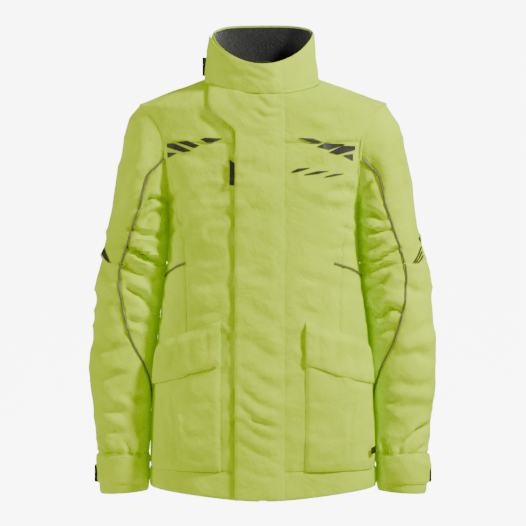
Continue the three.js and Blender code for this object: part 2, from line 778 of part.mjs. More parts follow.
function addSleeves() {
  const split = 0.006; // half the gap at the elbow, in rings
  const inner = (index) => pipedSeam(index);
  const back = () => backSeam;
  const backTurned = () => backSeam - 360;
  for (const [name, side] of [["right", -1], ["left", 1]]) {
    const low = -fabric;
    const top = elbowRing - split;
    const upperInner = sleevePanel(side, inner, back, 0, top, 7, 7, low, 0);
    addPiece(`${name}_upper_sleeve_inner`, upperInner, "shellDark");
    const upperOuter = sleevePanel(side, backTurned, inner, 0, top, 17, 7, low, 0);
    addPiece(`${name}_upper_sleeve_outer`, upperOuter, "shell");
    const foot = elbowRing + split;
    const foreInner = sleevePanel(side, inner, back, foot, 10, 5, 3, low, 0);
    addPiece(`${name}_forearm_inner`, foreInner, "shellDark");
    const foreOuter = sleevePanel(side, backTurned, inner, foot, bandRing - split, 14, 5, low, 0);
    addPiece(`${name}_forearm_outer`, foreOuter, "shell");

    const lining = (rings) => (s, t, lift) =>
      sleevePoint(side, s * 360 * deg, levelAt(rings, t, 0), lift);
    const high = (s, t) => -fabric - mix(layerGap, sleeveLoft, Math.min(2 * t, 1));
    const thin = (s, t) => high(s, t) - liningThickness;
    const upper = shell(lining([1.1, 2, 3, 4, 5, 6, elbowRing - 0.1]), 12, 6, thin, high, true);
    addPiece(`${name}_upper_sleeve_lining`, upper, "lining");
    const lowerRings = [elbowRing + 0.1, 8, 9, 10, 11, bandRing, cuffRing - 0.35];
    const loose = -fabric - sleeveLoft;
    const lower = shell(lining(lowerRings), 12, 6, loose - liningThickness, loose, true);
    addPiece(`${name}_forearm_lining`, lower, "lining");

    const piping = (s, t, lift) => {
      const index = mix(0.5, elbowRing - 0.05, t);
      const around = pipedSeam(index) * deg + ((s - 0.5) * pipingWidth) / 62;
      return sleevePoint(side, around, index, lift);
    };
    const strip = shell(piping, 1, 8, touchGap + 0.3, touchGap + pipingThickness);
    addPiece(`${name}_sleeve_piping`, strip, "piping");
    addCuff(name, side);
  }
}

const strapSewn = 136; // the strap's sewn end round the cuff, in degrees
const strapFree = -14; // and its free end on the outer side
const strapFoot = cuffRing - 0.24;
const strapTop = strapFoot - strapHeight / cuffBandHeight;

function addCuff(name, side) {
  const at = (s, t, lift) => {
    const index = mix(bandRing + 0.008, cuffRing, t);
    return sleevePoint(side, s * 360 * deg, index, lift);
  };
  addPiece(`${name}_cuff_band`, shell(at, 16, 2, -fabric, 0, true), "shell");

  const strapAt = (from, to, foot, top) => (s, t, lift) =>
    sleevePoint(side, mix(from, to, s) * deg, mix(foot, top, t), lift);
  const low = layerGap + 0.2;
  const high = low + strapThickness;
  const strap = strapAt(strapSewn, strapFree, strapFoot, strapTop);
  addPiece(`${name}_cuff_strap`, shell(strap, 10, 1, low, high), "shell");
  const foot = strapFoot - 0.05;
  const tip = strapFree - 0.6;
  const tab = strapAt(tip, tip - 11, foot, foot - labelHeight / cuffBandHeight);
  addPiece(`${name}_cuff_label`, shell(tab, 1, 1, low + 0.6, low + 0.6 + labelThickness), "label");
}

// ---------------------------------------------------------------- hanger loop

const napeY = neckBackDepth - fabric - 2 * liningThickness - 2 * touchGap;
const loopZ = neckHeight + backNeckRise + seamGap + 14;

/** A tape bowed forward from the nape, its ends on the collar's lining. */
function addHangerLoop() {
  const steps = 12;
  const wall = (x) => napeY - 1.5 - (x * x) / (2 * neckHalfWidth) - 0.22 * 14;
  const bow = (x) => loopBow * Math.cos((x / loopSpan) * Math.PI) ** 0.7;
  const outline = new THREE.Shape();
  const points = [];
  for (let k = 0; k <= steps; k += 1) {
    const x = loopSpan * (k / steps - 0.5);
    points.push([x, wall(x) - Math.max(bow(Math.min(Math.abs(x), loopSpan / 2 - 0.01)), 0)]);
  }
  const back = points.map(([x, y]) => [x, y - loopThickness]).reverse();
  outline.setFromPoints([...points, ...back].map(([x, y]) => new THREE.Vector2(x, y)));
  const tape = new THREE.ExtrudeGeometry(outline, { depth: loopTape, bevelEnabled: false });
  addPiece("hanger_loop", tape.translate(0, 0, loopZ - loopTape / 2), "label");
  return wall(0) - loopBow - loopThickness;
}

addFronts();
addBack();
addLinings();
addCollar();
addStormFlap();
addZip();
addPockets();
addHemLabel();
addHipPiping();
addSleeves();
const loopFace = addHangerLoop();

// ---------------------------------------------------------------- joints and origin

const origin = new THREE.Vector3(0, loopFace, loopZ);
jacket.position.copy(origin).negate();

/** A joint's place and axis in the finished frame. */
function joint(place, axis) {
  return { place: place.clone().sub(origin).toArray(), axis: axis.clone().normalize().toArray() };
}

/** The point of a seam that stands out the most in a direction. */
function furthest(seam, outwards) {
  const places = [0, 0.2, 0.4, 0.6, 0.8, 1].map((t) => seam(t));
  return places.reduce((a, b) => (b.dot(outwards) > a.dot(outwards) ? b : a));
}

const up = new THREE.Vector3(0, zipLean, 1);
const flapSeam = (t) => {
  const v = t * neckHeight;
  return bodyPoint(angleAt(flapSeamX, v), v, layerGap + flapThickness + touchGap);
};
const flapLine = flapSeam(1).sub(flapSeam(0));
const flapFront = new THREE.Vector3(0.4, -1, zipLean);
const slideTop = new THREE.Vector3(0, -frontDepth(rimFrontZ), rimFrontZ);
zipGroup.updateMatrix();
const pullHinge = new THREE.Vector3(0, pullFace, pullTop).applyMatrix4(zipGroup.matrix);
jacket.userData.joints = {
  storm_flap_open: joint(furthest(flapSeam, flapFront), flapLine),
  main_zip_slide: joint(slideTop, up.clone().negate()),
  zip_pull_swing: joint(pullHinge, new THREE.Vector3(-1, 0, 0)),
};
for (const [name, side] of [["right", -1], ["left", 1]]) {
  const seamEnd = (s) => {
    const angle = pocketPlace(side, s, pocketTop);
    return bodyPoint(angle, pocketSeam(angle), layerGap + fabric - 0.5);
  };
  const along = seamEnd(0).sub(seamEnd(1)).normalize();
  const outwards = new THREE.Vector3(0, 0, side).cross(along);
  const crest = furthest(seamEnd, outwards);
  jacket.userData.joints[`${name}_pocket_flap_lift`] = joint(crest, along.multiplyScalar(side));
  const tip = bodyPoint(side * 90 * deg, shoulder, 0);
  const turn = new THREE.Vector3(0, -side, 0);
  jacket.userData.joints[`${name}_sleeve_swing`] = joint(tip, turn);
  const splay = elbowSplay * deg;
  const foremost = Math.atan2(elbowDepth * Math.cos(splay), elbowWidth * Math.sin(splay));
  const crook = sleevePoint(side, foremost, elbowRing, 0.3);
  const bend = new THREE.Vector3(-Math.cos(splay), -side * Math.sin(splay), 0);
  jacket.userData.joints[`${name}_elbow_bend`] = joint(crook, bend);
  const foot = sleevePoint(side, strapSewn * deg, strapFoot, touchGap + 0.5);
  const head = sleevePoint(side, strapSewn * deg, strapTop, touchGap + 0.5);
  jacket.userData.joints[`${name}_cuff_strap_open`] = joint(foot, foot.clone().sub(head).multiplyScalar(side));
}

export default jacket;
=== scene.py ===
import math

import bpy
import numpy as np
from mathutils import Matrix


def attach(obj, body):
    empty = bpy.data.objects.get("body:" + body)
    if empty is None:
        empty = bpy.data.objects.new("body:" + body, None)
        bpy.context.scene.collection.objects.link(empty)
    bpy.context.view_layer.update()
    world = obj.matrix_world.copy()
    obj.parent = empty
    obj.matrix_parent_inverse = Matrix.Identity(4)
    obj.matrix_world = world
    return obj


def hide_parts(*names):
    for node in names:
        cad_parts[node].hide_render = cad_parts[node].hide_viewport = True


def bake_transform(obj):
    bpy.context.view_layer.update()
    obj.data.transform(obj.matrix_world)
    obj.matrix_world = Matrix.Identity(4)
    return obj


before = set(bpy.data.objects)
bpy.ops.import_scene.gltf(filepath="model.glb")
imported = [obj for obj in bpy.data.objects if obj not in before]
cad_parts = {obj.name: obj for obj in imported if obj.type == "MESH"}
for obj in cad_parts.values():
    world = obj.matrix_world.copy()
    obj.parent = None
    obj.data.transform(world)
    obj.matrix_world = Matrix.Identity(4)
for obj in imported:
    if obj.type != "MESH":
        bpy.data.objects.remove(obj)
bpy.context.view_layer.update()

deg = math.pi / 180

# sizes shared by every piece, in mm, counted up from the hem; the frame's origin is the hanger loop
jacket = {
    "loopY": 57.32, "loopZ": 736.6,
    "neck": 716, "shoulder": 674, "armpit": 500, "armholeHeight": 174,
    "hemHalf": 196, "hipHalf": 186, "waistHalf": 162, "armpitHalf": 163, "shoulderHalf": 211, "neckHalf": 97,
    "hip": 230, "waist": 436, "zipFoot": 135, "zipLean": 0.0673,
    "neckBack": 80, "napeRise": 6,
    "hemRise": 18, "hemBand": 50, "fabric": 2.6,
    "rimHalf": 88, "rimBackDepth": 62, "rimBack": 806, "rimFront": 744,
    "armholeFront": 20 * deg, "armholeBack": 24 * deg,
}


def toFrame(points):
    # hem-based millimetres to the frame's metres
    return (points - np.array([0, jacket["loopY"], jacket["loopZ"]])) / 1000


def lerp(a, b, t):
    return a + (b - a) * t


def ease(x, low, high):
    # 0 below low, 1 above high, 3t^2 - 2t^3 between
    t = np.clip((x - low) / (high - low), 0, 1)
    return t * t * (3 - 2 * t)


def curve(knots):
    # a smooth line through (place, value) knots: cubic pieces whose slopes are those of the neighbours' chords
    k = np.array(knots, float)
    slopes = np.gradient(k[:, 1], k[:, 0])
    for i in range(1, len(k) - 1):
        slopes[i] = (k[i + 1, 1] - k[i - 1, 1]) / (k[i + 1, 0] - k[i - 1, 0])

    def value(x):
        x = np.clip(x, k[0, 0], k[-1, 0])
        i = np.clip(np.searchsorted(k[:, 0], x) - 1, 0, len(k) - 2)
        span = k[i + 1, 0] - k[i, 0]
        t = (x - k[i, 0]) / span
        h0, h1 = 2 * t**3 - 3 * t**2 + 1, t**3 - 2 * t**2 + t
        h2, h3 = -2 * t**3 + 3 * t**2, t**3 - t**2
        return h0 * k[i, 1] + h1 * span * slopes[i] + h2 * k[i + 1, 1] + h3 * span * slopes[i + 1]
    return value


def noise(points, size, seed):
    # smooth value noise from -1 to 1: random values on a lattice of that size, blended between its corners
    rng = np.random.default_rng(seed)
    table = rng.uniform(-1, 1, 4096)
    p = points / size + 100.5
    cell = np.floor(p).astype(np.int64)
    f = p - cell
    f = f * f * (3 - 2 * f)
    total = np.zeros(p.shape[:-1])
    for corner in np.ndindex(2, 2, 2):
        c = cell + np.array(corner)
        key = (c[..., 0] * 73856093 ^ c[..., 1] * 19349663 ^ c[..., 2] * 83492791) & 4095
        weight = np.ones(p.shape[:-1])
        for axis in range(3):
            weight = weight * (f[..., axis] if corner[axis] else 1 - f[..., axis])
        total += weight * table[key]
    return total


# the body's surface: rounded sections stacked up the zip's leaning line

halfWidth = curve([
    (0, jacket["hemHalf"]), (130, lerp(jacket["hemHalf"], jacket["hipHalf"], 0.4)), (jacket["hip"], jacket["hipHalf"]),
    (lerp(jacket["hip"], jacket["waist"], 0.4), lerp(jacket["hipHalf"], jacket["waistHalf"], 0.4)),
    (lerp(jacket["hip"], jacket["waist"], 0.75), lerp(jacket["hipHalf"], jacket["waistHalf"], 0.82)),
    (jacket["waist"], jacket["waistHalf"]), (jacket["armpit"], jacket["armpitHalf"]),
    (530, 174.5), (561, 189.4), (590, 202.8), (622, 208.6), (jacket["shoulder"], jacket["shoulderHalf"]),
])
backDepth = curve([(0, 105), (230, 104), (436, 112), (500, 118.6), (561, 122), (630, 119), (674, 108), (716, 80)])
corner = curve([(0, 2.5), (500, 2.4), (604, 2.25), (674, 2), (716, 2)])
frontDip = curve([(0, 0), (587, 0), (674, 8.8), (716, 22)])


def widthAt(v):
    roof = lerp(jacket["shoulderHalf"], jacket["neckHalf"], np.clip((v - jacket["shoulder"]) / 42, 0, 1.2))
    return np.where(v <= jacket["shoulder"], halfWidth(v), roof)


def frontDepth(z):
    return jacket["zipFoot"] - jacket["zipLean"] * z


def sectionRadius(angle, width, depth, n):
    # radius of |x/width|^n + |y/depth|^n = 1 in the direction of the angle
    return ((np.abs(np.sin(angle)) / width) ** n + (np.abs(np.cos(angle)) / depth) ** n) ** (-1 / n)


def bodyBase(angle, v):
    forward = ((1 + np.cos(angle)) / 2) ** 2
    backward = ((1 - np.cos(angle)) / 2) ** 2
    nape = np.clip((v - jacket["shoulder"]) / 42, 0, 1)
    z = v - frontDip(v) * forward + jacket["napeRise"] * nape * backward
    depth = np.where(np.cos(angle) > 0, frontDepth(z), backDepth(v))
    r = sectionRadius(angle, widthAt(v), depth, corner(v))
    return np.stack([r * np.sin(angle), -r * np.cos(angle), z], -1)


def normalOf(base, a, b, stepA, stepB):
    n = np.cross(base(a + stepA, b) - base(a - stepA, b), base(a, b + stepB) - base(a, b - stepB))
    return n / np.maximum(np.linalg.norm(n, axis=-1, keepdims=True), 1e-9)


def angleAt(x, v):
    # the angle at which the front has a given x
    n = corner(v)
    share = np.minimum(np.abs(x) / widthAt(v), 0.999) ** n
    return np.sign(x) * np.arctan2(np.abs(x), frontDepth(v - frontDip(v)) * (1 - share) ** (1 / n))


def edgeAngle(v, way):
    # the armhole's edge, or the side or shoulder seam; way -1 is its front, 1 its back
    k = np.clip(2 * (v - jacket["armpit"]) / jacket["armholeHeight"] - 1, -1, 1)
    return 90 * deg + way * np.sqrt(1 - k * k) * (jacket["armholeFront"] if way < 0 else jacket["armholeBack"])


def armholeLevel(turn):
    return jacket["armpit"] + jacket["armholeHeight"] * (1 + np.cos(turn)) / 2


# folds, as heights added along the surface's normal

def creaseHeight(x, z, folds):
    # each fold is a valley along a bent line, with a softer ridge on its upper side; both fade at the ends
    total = np.zeros_like(x)
    for points, width, depth in folds:
        p = np.array(points, float)
        lengths = np.hypot(*np.diff(p, axis=0).T)
        along0, best = 0, np.full(x.shape, 1e9)
        side, along = np.zeros_like(x), np.zeros_like(x)
        for i, run in enumerate(lengths):
            d = (p[i + 1] - p[i]) / run
            t = np.clip((x - p[i, 0]) * d[0] + (z - p[i, 1]) * d[1], 0, run)
            away = np.hypot(x - p[i, 0] - t * d[0], z - p[i, 1] - t * d[1])
            over = (z - p[i, 1]) * d[0] - (x - p[i, 0]) * d[1]
            near = away < best
            best = np.where(near, away, best)
            side = np.where(near, np.sign(over), side)
            along = np.where(near, along0 + t, along)
            along0 += run
        fade = np.sin(np.pi * np.clip(along / along0, 0, 1)) ** 0.6
        valley = -np.exp(-(best / width) ** 2)
        ridge = 0.75 * np.exp(-((best - 2 * width) / (1.5 * width)) ** 2) * np.where(side > 0, 1, 0.45)
        total += depth * fade * (valley + ridge)
    return total


bodyFolds = [
    ([(-161, 452), (-146, 462), (-128, 484)], 5, 2.2), ([(-160, 432), (-140, 440), (-112, 446)], 6, 1.6),
    ([(160, 448), (148, 458), (124, 470)], 5, 2.0), ([(160, 424), (138, 428), (104, 426)], 6, 1.5),
    ([(-163, 512), (-140, 520), (-112, 512)], 7, 1.6), ([(163, 516), (142, 528), (112, 524)], 7, 1.8),
    ([(-150, 600), (-120, 585), (-84, 580)], 10, 1.2), ([(150, 604), (118, 574), (70, 566)], 10, 1.0),
    ([(60, 520), (96, 500), (140, 488)], 9, 1.2), ([(-60, 500), (-96, 470), (-130, 455)], 9, 1.2),
    ([(-120, 662), (-92, 646), (-60, 600)], 9, 1.4), ([(150, 668), (110, 660), (70, 676)], 9, 1.4),
    ([(-66, 380), (-90, 366), (-130, 362)], 9, 1.3), ([(58, 384), (92, 372), (132, 358)], 9, 1.2),
    ([(-66, 330), (-84, 322), (-120, 312)], 7, 1.4), ([(52, 332), (70, 322), (104, 316)], 7, 1.4),
]


def bodyRelief(points, angle, v):
    # listed folds in front, broad softness everywhere and small crumples that fade over the shoulders
    front = ease(np.cos(angle), -0.05, 0.25)
    h = creaseHeight(points[..., 0], points[..., 2], bodyFolds) * front
    h = 2.1 * h + 3.0 * noise(points, 95, 3) + 1.1 * noise(points * [1, 1, 1.3], 36, 4) + 0.3 * noise(points, 15, 6)
    ridged = (1 - np.abs(noise(points * [1, 1, 1.6], 58, 5))) ** 3
    back = 1 - front
    h = h + (2.6 + 1.0 * back) * ridged * ease(v, 40, 140) * (1 - ease(v, 600, 690))
    beside = ease(np.abs(np.sin(angle)), 0.93, 1.0) * (1 - ease(v, 480, 520))
    return h * ease(v, 0, 30) * (1 - 0.6 * beside)


def foldedBody(angle, v):
    p = bodyBase(angle, v)
    return p + normalOf(bodyBase, angle, v, 0.02, 3) * bodyRelief(p, angle, v)[..., None]


def bodySurface(angle, v):
    p = foldedBody(angle, v)
    return p, normalOf(foldedBody, angle, v, 0.008, 1.2)


# the collar's surface

def collarBase(angle, up):
    foot = bodyBase(angle, np.full_like(angle, jacket["neck"], dtype=float))
    rim = jacket["rimBack"] - (jacket["rimBack"] - jacket["rimFront"]) * ((1 + np.cos(angle)) / 2) ** 2.2
    z = lerp(foot[..., 2] + 0.3, rim, up)
    depth = np.where(np.cos(angle) > 0, frontDepth(z), lerp(jacket["neckBack"], jacket["rimBackDepth"], up))
    width = lerp(jacket["neckHalf"], jacket["rimHalf"], up)
    r = sectionRadius(angle, width, depth, 2)
    return np.stack([r * np.sin(angle), -r * np.cos(angle), z], -1)


def foldedCollar(angle, up):
    p = collarBase(angle, up)
    h = 1.6 * noise(p, 52, 11) + 0.8 * noise(p, 24, 12)
    h = h - 1.8 * np.exp(-((up - 0.45) / 0.16) ** 2) * (0.5 + 0.5 * noise(p * [1, 1, 0.3], 70, 13))
    return p + normalOf(collarBase, angle, np.clip(up, 0.1, 0.9), 0.02, 0.05) * h[..., None]


def collarSurface(angle, up):
    return foldedCollar(angle, up), normalOf(foldedCollar, angle, np.clip(up, 0.03, 0.97), 0.012, 0.02)


# the sleeve's surface, ring by ring from the armhole to the cuff

sleeveRings = np.array([
    (0, 0, 48, 136, 8, 0), (0.04, 0.006, 65, 142, 9, -1), (0.09, 0.016, 75, 147, 11, 1),
    (0.155, 0.03, 85, 150, 13, 3), (0.22, 0.052, 92, 150, 15, 5), (0.275, 0.085, 99, 148, 16, 6),
    (0.345, 0.14, 107, 142, 17, 6), (0.405, 0.205, 114, 132, 18, 5), (0.47, 0.29, 115, 128, 16, 3),
    (0.585, 0.44, 112, 124, 12, 0), (0.67, 0.56, 110, 118, 8, 0), (0.797, 0.735, 97.2, 109.6, 0, 0),
    (0.8925, 0.855, 90, 104, -6, 0), (1, 0.9879, 86, 100, -10, 0),
])
ringCurves = [curve(list(zip(range(len(sleeveRings)), sleeveRings[:, c]))) for c in range(6)]
sleeveLength = 670
sleeveDrop = 496


def ringBase(turn, index):
    outerDrop, innerDrop, width, depth, middle, room = [c(index) for c in ringCurves]
    innerZ = jacket["armpit"] - innerDrop * sleeveDrop
    outerZ = jacket["shoulder"] - outerDrop * sleeveLength
    innerX = lerp(jacket["armpitHalf"], widthAt(np.maximum(innerZ, 0)) + 0.1 * room - 0.9, np.clip(index, 0, 1))
    swing = np.cos(turn)
    x = innerX + width / 2 * (1 + swing)
    z = (innerZ + outerZ) / 2 + (outerZ - innerZ) / 2 * swing
    return np.stack([x, middle - depth / 2 * np.sin(turn), z], -1)


def sleeveBase(turn, index):
    v = armholeLevel(turn)
    front = bodyBase(edgeAngle(v, -1), v)
    back = bodyBase(edgeAngle(v, 1), v)
    loop = np.where((np.sin(turn) > 0)[..., None], front, back)
    t = np.clip(index, 0, 1)[..., None]
    return np.where((index < 1)[..., None], lerp(loop, ringBase(turn, np.maximum(index, 1)), t), ringBase(turn, index))


rightArmFolds = [
    ([(-163, 512), (-192, 512), (-214, 490)], 5, 4.5), ([(-167, 496), (-190, 488), (-206, 464)], 6, 3.0),
    ([(-176, 586), (-196, 556), (-206, 520)], 9, 2.0), ([(-214, 640), (-222, 600), (-236, 556)], 11, 2.6),
    ([(-226, 600), (-246, 540), (-262, 470)], 13, 2.2),
    ([(-165, 462), (-181, 448), (-206, 452), (-232, 462)], 4.5, 4.2),
    ([(-238, 434), (-214, 420), (-190, 406), (-170, 398)], 4.5, 5.0), ([(-222, 430), (-204, 414), (-178, 404)], 5, 3.2),
    ([(-244, 402), (-216, 384), (-184, 372)], 7, 3.2), ([(-236, 360), (-208, 346), (-182, 320)], 6, 4.4),
    ([(-288, 408), (-270, 392), (-256, 366)], 9, 2.6), ([(-232, 305), (-210, 298), (-190, 302)], 6, 3.4),
    ([(-292, 330), (-266, 342), (-246, 332)], 9, 2.4), ([(-296, 268), (-262, 252), (-232, 262)], 9, 2.6),
    ([(-294, 214), (-262, 206), (-228, 216)], 8, 2.6), ([(-290, 176), (-262, 150), (-232, 146)], 8, 2.8),
    ([(-288, 92), (-270, 84), (-252, 70)], 4.5, 3.6), ([(-286, 112), (-262, 118), (-236, 108)], 7, 2.6),
    ([(-213, 68), (-211, 84), (-205, 108)], 3.5, 4.6), ([(-228, 70), (-230, 86), (-238, 100)], 4, 2.8),
    ([(-204, 180), (-222, 170), (-244, 178)], 7, 2.2), ([(-260, 70), (-264, 84), (-274, 96)], 4, 2.6),
]
leftArmFolds = [
    ([(162, 500), (164, 524), (188, 544)], 5, 4.0), ([(164, 492), (190, 486), (210, 470)], 6, 3.2),
    ([(176, 586), (192, 560), (200, 520)], 9, 2.0), ([(214, 640), (224, 600), (238, 560)], 11, 2.2),
    ([(230, 600), (248, 540), (262, 480)], 13, 2.0), ([(161, 468), (196, 455), (222, 461)], 4.5, 4.2),
    ([(161, 412), (198, 408), (236, 430)], 4.5, 5.0), ([(166, 440), (190, 432), (214, 438)], 6, 2.4),
    ([(168, 396), (196, 390), (222, 402)], 6, 2.6), ([(171, 354), (202, 368), (218, 386)], 6, 4.6),
    ([(173, 328), (202, 308), (216, 326), (242, 316)], 6, 4.4), ([(240, 372), (262, 352), (286, 350)], 9, 2.6),
    ([(176, 300), (200, 286), (232, 292)], 7, 3.0), ([(292, 300), (268, 286), (244, 262)], 9, 2.8),
    ([(230, 240), (262, 248), (294, 232)], 9, 2.6), ([(228, 200), (260, 188), (292, 196)], 8, 2.6),
    ([(242, 92), (266, 116), (294, 127)], 5, 4.4), ([(228, 150), (256, 160), (288, 154)], 8, 2.4),
    ([(214, 70), (212, 86), (206, 108)], 3.5, 4.6), ([(232, 72), (234, 88), (244, 104)], 4, 2.6),
    ([(204, 176), (222, 164), (240, 172)], 7, 2.2), ([(262, 70), (268, 82), (280, 90)], 4, 2.6),
]


def sleeveRelief(p, turn, index, side):
    # front folds from the listed lines; behind, slanting ridges from crossed noise; deep tucks round the elbow
    front = ease(np.sin(turn), -0.1, 0.3)
    h = creaseHeight(side * p[..., 0], p[..., 2], leftArmFolds if side > 0 else rightArmFolds) * front
    seed = 20 if side > 0 else 40
    slanted = p * [1, 1, 2.1] + np.stack([0 * h, 0 * h, 0.9 * p[..., 0]], -1)
    ridged = (1 - np.abs(noise(slanted, 62, seed))) ** 3
    elbow = np.exp(-((index - 7.2) / 2.2) ** 2)
    h = 2.0 * h + (1 - front) * (2.2 + 3.6 * elbow) * ridged + front * 2.4 * ridged
    h = h + 3.0 * noise(p, 80, seed + 1) + 1.2 * noise(p * [1, 1, 1.4], 32, seed + 2) + 0.35 * noise(p, 14, seed + 3)
    beside = 1 - 0.65 * ease(-np.cos(turn), 0.55, 0.95)
    return h * beside * ease(index, 0, 1.2) * (1 - 0.8 * ease(index, 12.3, 13))


def foldedSleeve(side):
    def base(turn, index):
        p = sleeveBase(turn, index)
        n = normalOf(sleeveBase, turn, np.clip(index, 0.3, 12.7), 0.04, 0.25)
        return p + n * sleeveRelief(p, turn, index, side)[..., None]
    return base


def sleeveSurface(side):
    base = foldedSleeve(side)

    def surface(turn, index):
        p = base(turn, index)
        n = normalOf(base, turn, np.clip(index, 0.06, 12.96), 0.02, 0.04)
        v = armholeLevel(turn)
        onBody = normalOf(bodyBase, edgeAngle(v, -1), np.minimum(v, 700), 0.02, 3)
        share = np.maximum(0, np.cos(turn)) * (1 - np.clip(index, 0, 1))
        n = lerp(n, onBody, share[..., None])
        n = n / np.linalg.norm(n, axis=-1, keepdims=True)
        mirror = np.array([side, 1, 1])
        return p * mirror, n * mirror
    return surface


# turning grids into pieces

def spread(length, step):
    # places from 0 to 1 along a length, evenly spaced but close together near both ends
    rim = np.array([0, 0.35, 0.9, 1.6, 2.3, 3.2, 4.6])
    count = max(int((length - 9.2) / step), 1)
    inner = np.linspace(4.6, length - 4.6, count + 1)[1:-1]
    return np.concatenate([rim, inner, (length - rim)[::-1]]) / length


def gaps(points, axis):
    # distance walked along one way of the grid, from its start and to its end
    steps = np.linalg.norm(np.diff(points, axis=axis), axis=-1)
    walked = np.cumsum(steps, axis=axis)
    walked = np.concatenate([np.zeros_like(np.take(walked, [0], axis)), walked], axis)
    return walked, np.take(walked, [-1], axis) - walked


def sewnEdge(d, turned=1.3, groove=0.55):
    # height beside a sewn edge: turned under at the edge, a stitch groove at 2 mm, then padding rises
    down = -turned * np.exp(-(d / 0.8) ** 2)
    stitched = -groove * np.exp(-((d - 2.1) / 0.9) ** 2)
    return down + stitched - 1.2 * np.exp(-d / 9)


def pucker(d, along, seed, size=8.5, depth=0.55):
    # small gathers that run along a seam and die out away from it
    p = np.stack([along, 0 * along, 0 * along + 7 * seed], -1)
    return depth * np.exp(-((d - 4) / 8) ** 2) * noise(p, size, 60 + seed)


def sewnRelief(points, sides="lrbt", seed=1, strength=1.0):
    left, right = gaps(points, 1)
    foot, head = gaps(points, 0)
    h = np.zeros(left.shape)
    for k, (mark, d, along) in enumerate([("l", left, foot), ("r", right, foot), ("b", foot, left), ("t", head, left)]):
        if mark in sides:
            h = h + strength * (sewnEdge(d) + pucker(d, along, seed * 4 + k))
    return h


def buildMesh(name, vertices, faces, uv, material):
    # a piece that stands for a CAD node of its own name is called sewn_ and that name
    name = "sewn_" + name if name in bpy.data.objects else name
    mesh = bpy.data.meshes.new(name)
    mesh.vertices.add(len(vertices))
    mesh.vertices.foreach_set("co", toFrame(vertices).astype(np.float32).ravel())
    mesh.loops.add(faces.size)
    mesh.loops.foreach_set("vertex_index", faces.ravel().astype(np.int32))
    mesh.polygons.add(len(faces))
    mesh.polygons.foreach_set("loop_start", np.arange(0, faces.size, 4, dtype=np.int32))
    mesh.update(calc_edges=True)
    if uv is not None:
        layer = mesh.uv_layers.new(name="cloth")
        layer.data.foreach_set("uv", (uv[faces.ravel()] / 1000).astype(np.float32).ravel())
    mesh.polygons.foreach_set("use_smooth", np.ones(len(faces), bool))
    mesh.set_sharp_from_angle(angle=50 * deg)
    mesh.validate()
    obj = bpy.data.objects.new(name, mesh)
    bpy.context.scene.collection.objects.link(obj)
    mesh.materials.append(material)
    return obj


def closedSheet(name, outer, inner, material, ring=False):
    # two grids joined round their borders into one closed solid; faces are turned outwards by its volume
    rows, cols = outer.shape[:2]
    number = np.arange(rows * cols).reshape(rows, cols)
    if ring:
        number = np.concatenate([number, number[:, :1]], 1)
    a, b, c, d = number[:-1, :-1], number[:-1, 1:], number[1:, 1:], number[1:, :-1]
    faces = [np.stack([a, b, c, d], -1).reshape(-1, 4)]
    off = rows * cols
    faces.append(np.stack([d, c, b, a], -1).reshape(-1, 4) + off)
    rims = [(number[0], True), (number[-1], False)]
    if not ring:
        rims += [(number[:, 0], False), (number[:, -1], True)]
    for edge, turned in rims:
        p, q = edge[:-1], edge[1:]
        rim = np.stack([p, p + off, q + off, q] if turned else [q, q + off, p + off, p], -1)
        faces.append(rim)
    faces = np.concatenate(faces)
    vertices = np.concatenate([outer.reshape(-1, 3), inner.reshape(-1, 3)])
    u, v = gaps(outer, 1)[0], gaps(outer, 0)[0]
    flat = np.stack([u - u.mean(), v], -1).reshape(-1, 2)
    p = vertices[faces]
    volume = np.einsum("ij,ij->i", p[:, 0], np.cross(p[:, 1], p[:, 2]) + np.cross(p[:, 2], p[:, 3])).sum()
    if volume < 0:
        faces = faces[:, ::-1]
    return buildMesh(name, vertices, np.ascontiguousarray(faces), np.concatenate([flat, flat]), material)


def declareCloth(outer):
    # size read off the finished outer face, creases included: longest row, longest column, summed area
    # held between 0.31 and 0.99 of width times length; it isn't a pattern size settled beforehand
    width = max(round(gaps(outer, 1)[0].max() / 1000, 3), 0.012)
    length = max(round(gaps(outer, 0)[0].max() / 1000, 3), 0.012)
    a = outer[1:, 1:] - outer[:-1, :-1]
    b = outer[1:, :-1] - outer[:-1, 1:]
    area = np.linalg.norm(np.cross(a, b), axis=-1).sum() / 2e6
    area = min(max(area, 0.31 * width * length), 0.99 * width * length)


def finishPiece(obj, body, nodes=()):
    if nodes:
        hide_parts(*nodes)
    if isinstance(body, str):
        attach(obj, body)
    else:
        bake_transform(obj)
    return obj


# materials

def toLinear(code):
    parts = [int(code[i:i + 2], 16) / 255 for i in (1, 3, 5)]
    return tuple(c / 12.92 if c <= 0.04045 else ((c + 0.055) / 1.055) ** 2.4 for c in parts) + (1,)


def addNode(tree, kind, settings=None, **links):
    # one node with its settings; a link or value goes to the socket whose name has its words
    node = tree.nodes.new(kind)
    for key, value in (settings or {}).items():
        setattr(node, key, value)
    for key, value in links.items():
        place = int(key[1:]) if key[0] == "i" and key[1:].isdigit() else key.replace("_", " ")
        socket = node.inputs[place]
        if isinstance(value, bpy.types.NodeSocket):
            tree.links.new(value, socket)
        else:
            socket.default_value = value
    return node


def newMaterial(name):
    material = bpy.data.materials.new(name)
    material.use_nodes = True
    tree = material.node_tree
    return material, tree, tree.nodes["Principled BSDF"]


def rampOf(tree, fac, stops):
    node = addNode(tree, "ShaderNodeValToRGB", Fac=fac)
    elements = node.color_ramp.elements
    while len(elements) < len(stops):
        elements.new(0.5)
    for element, (place, colour) in zip(elements, stops):
        element.position = place
        element.color = toLinear(colour)
    return node.outputs["Color"]


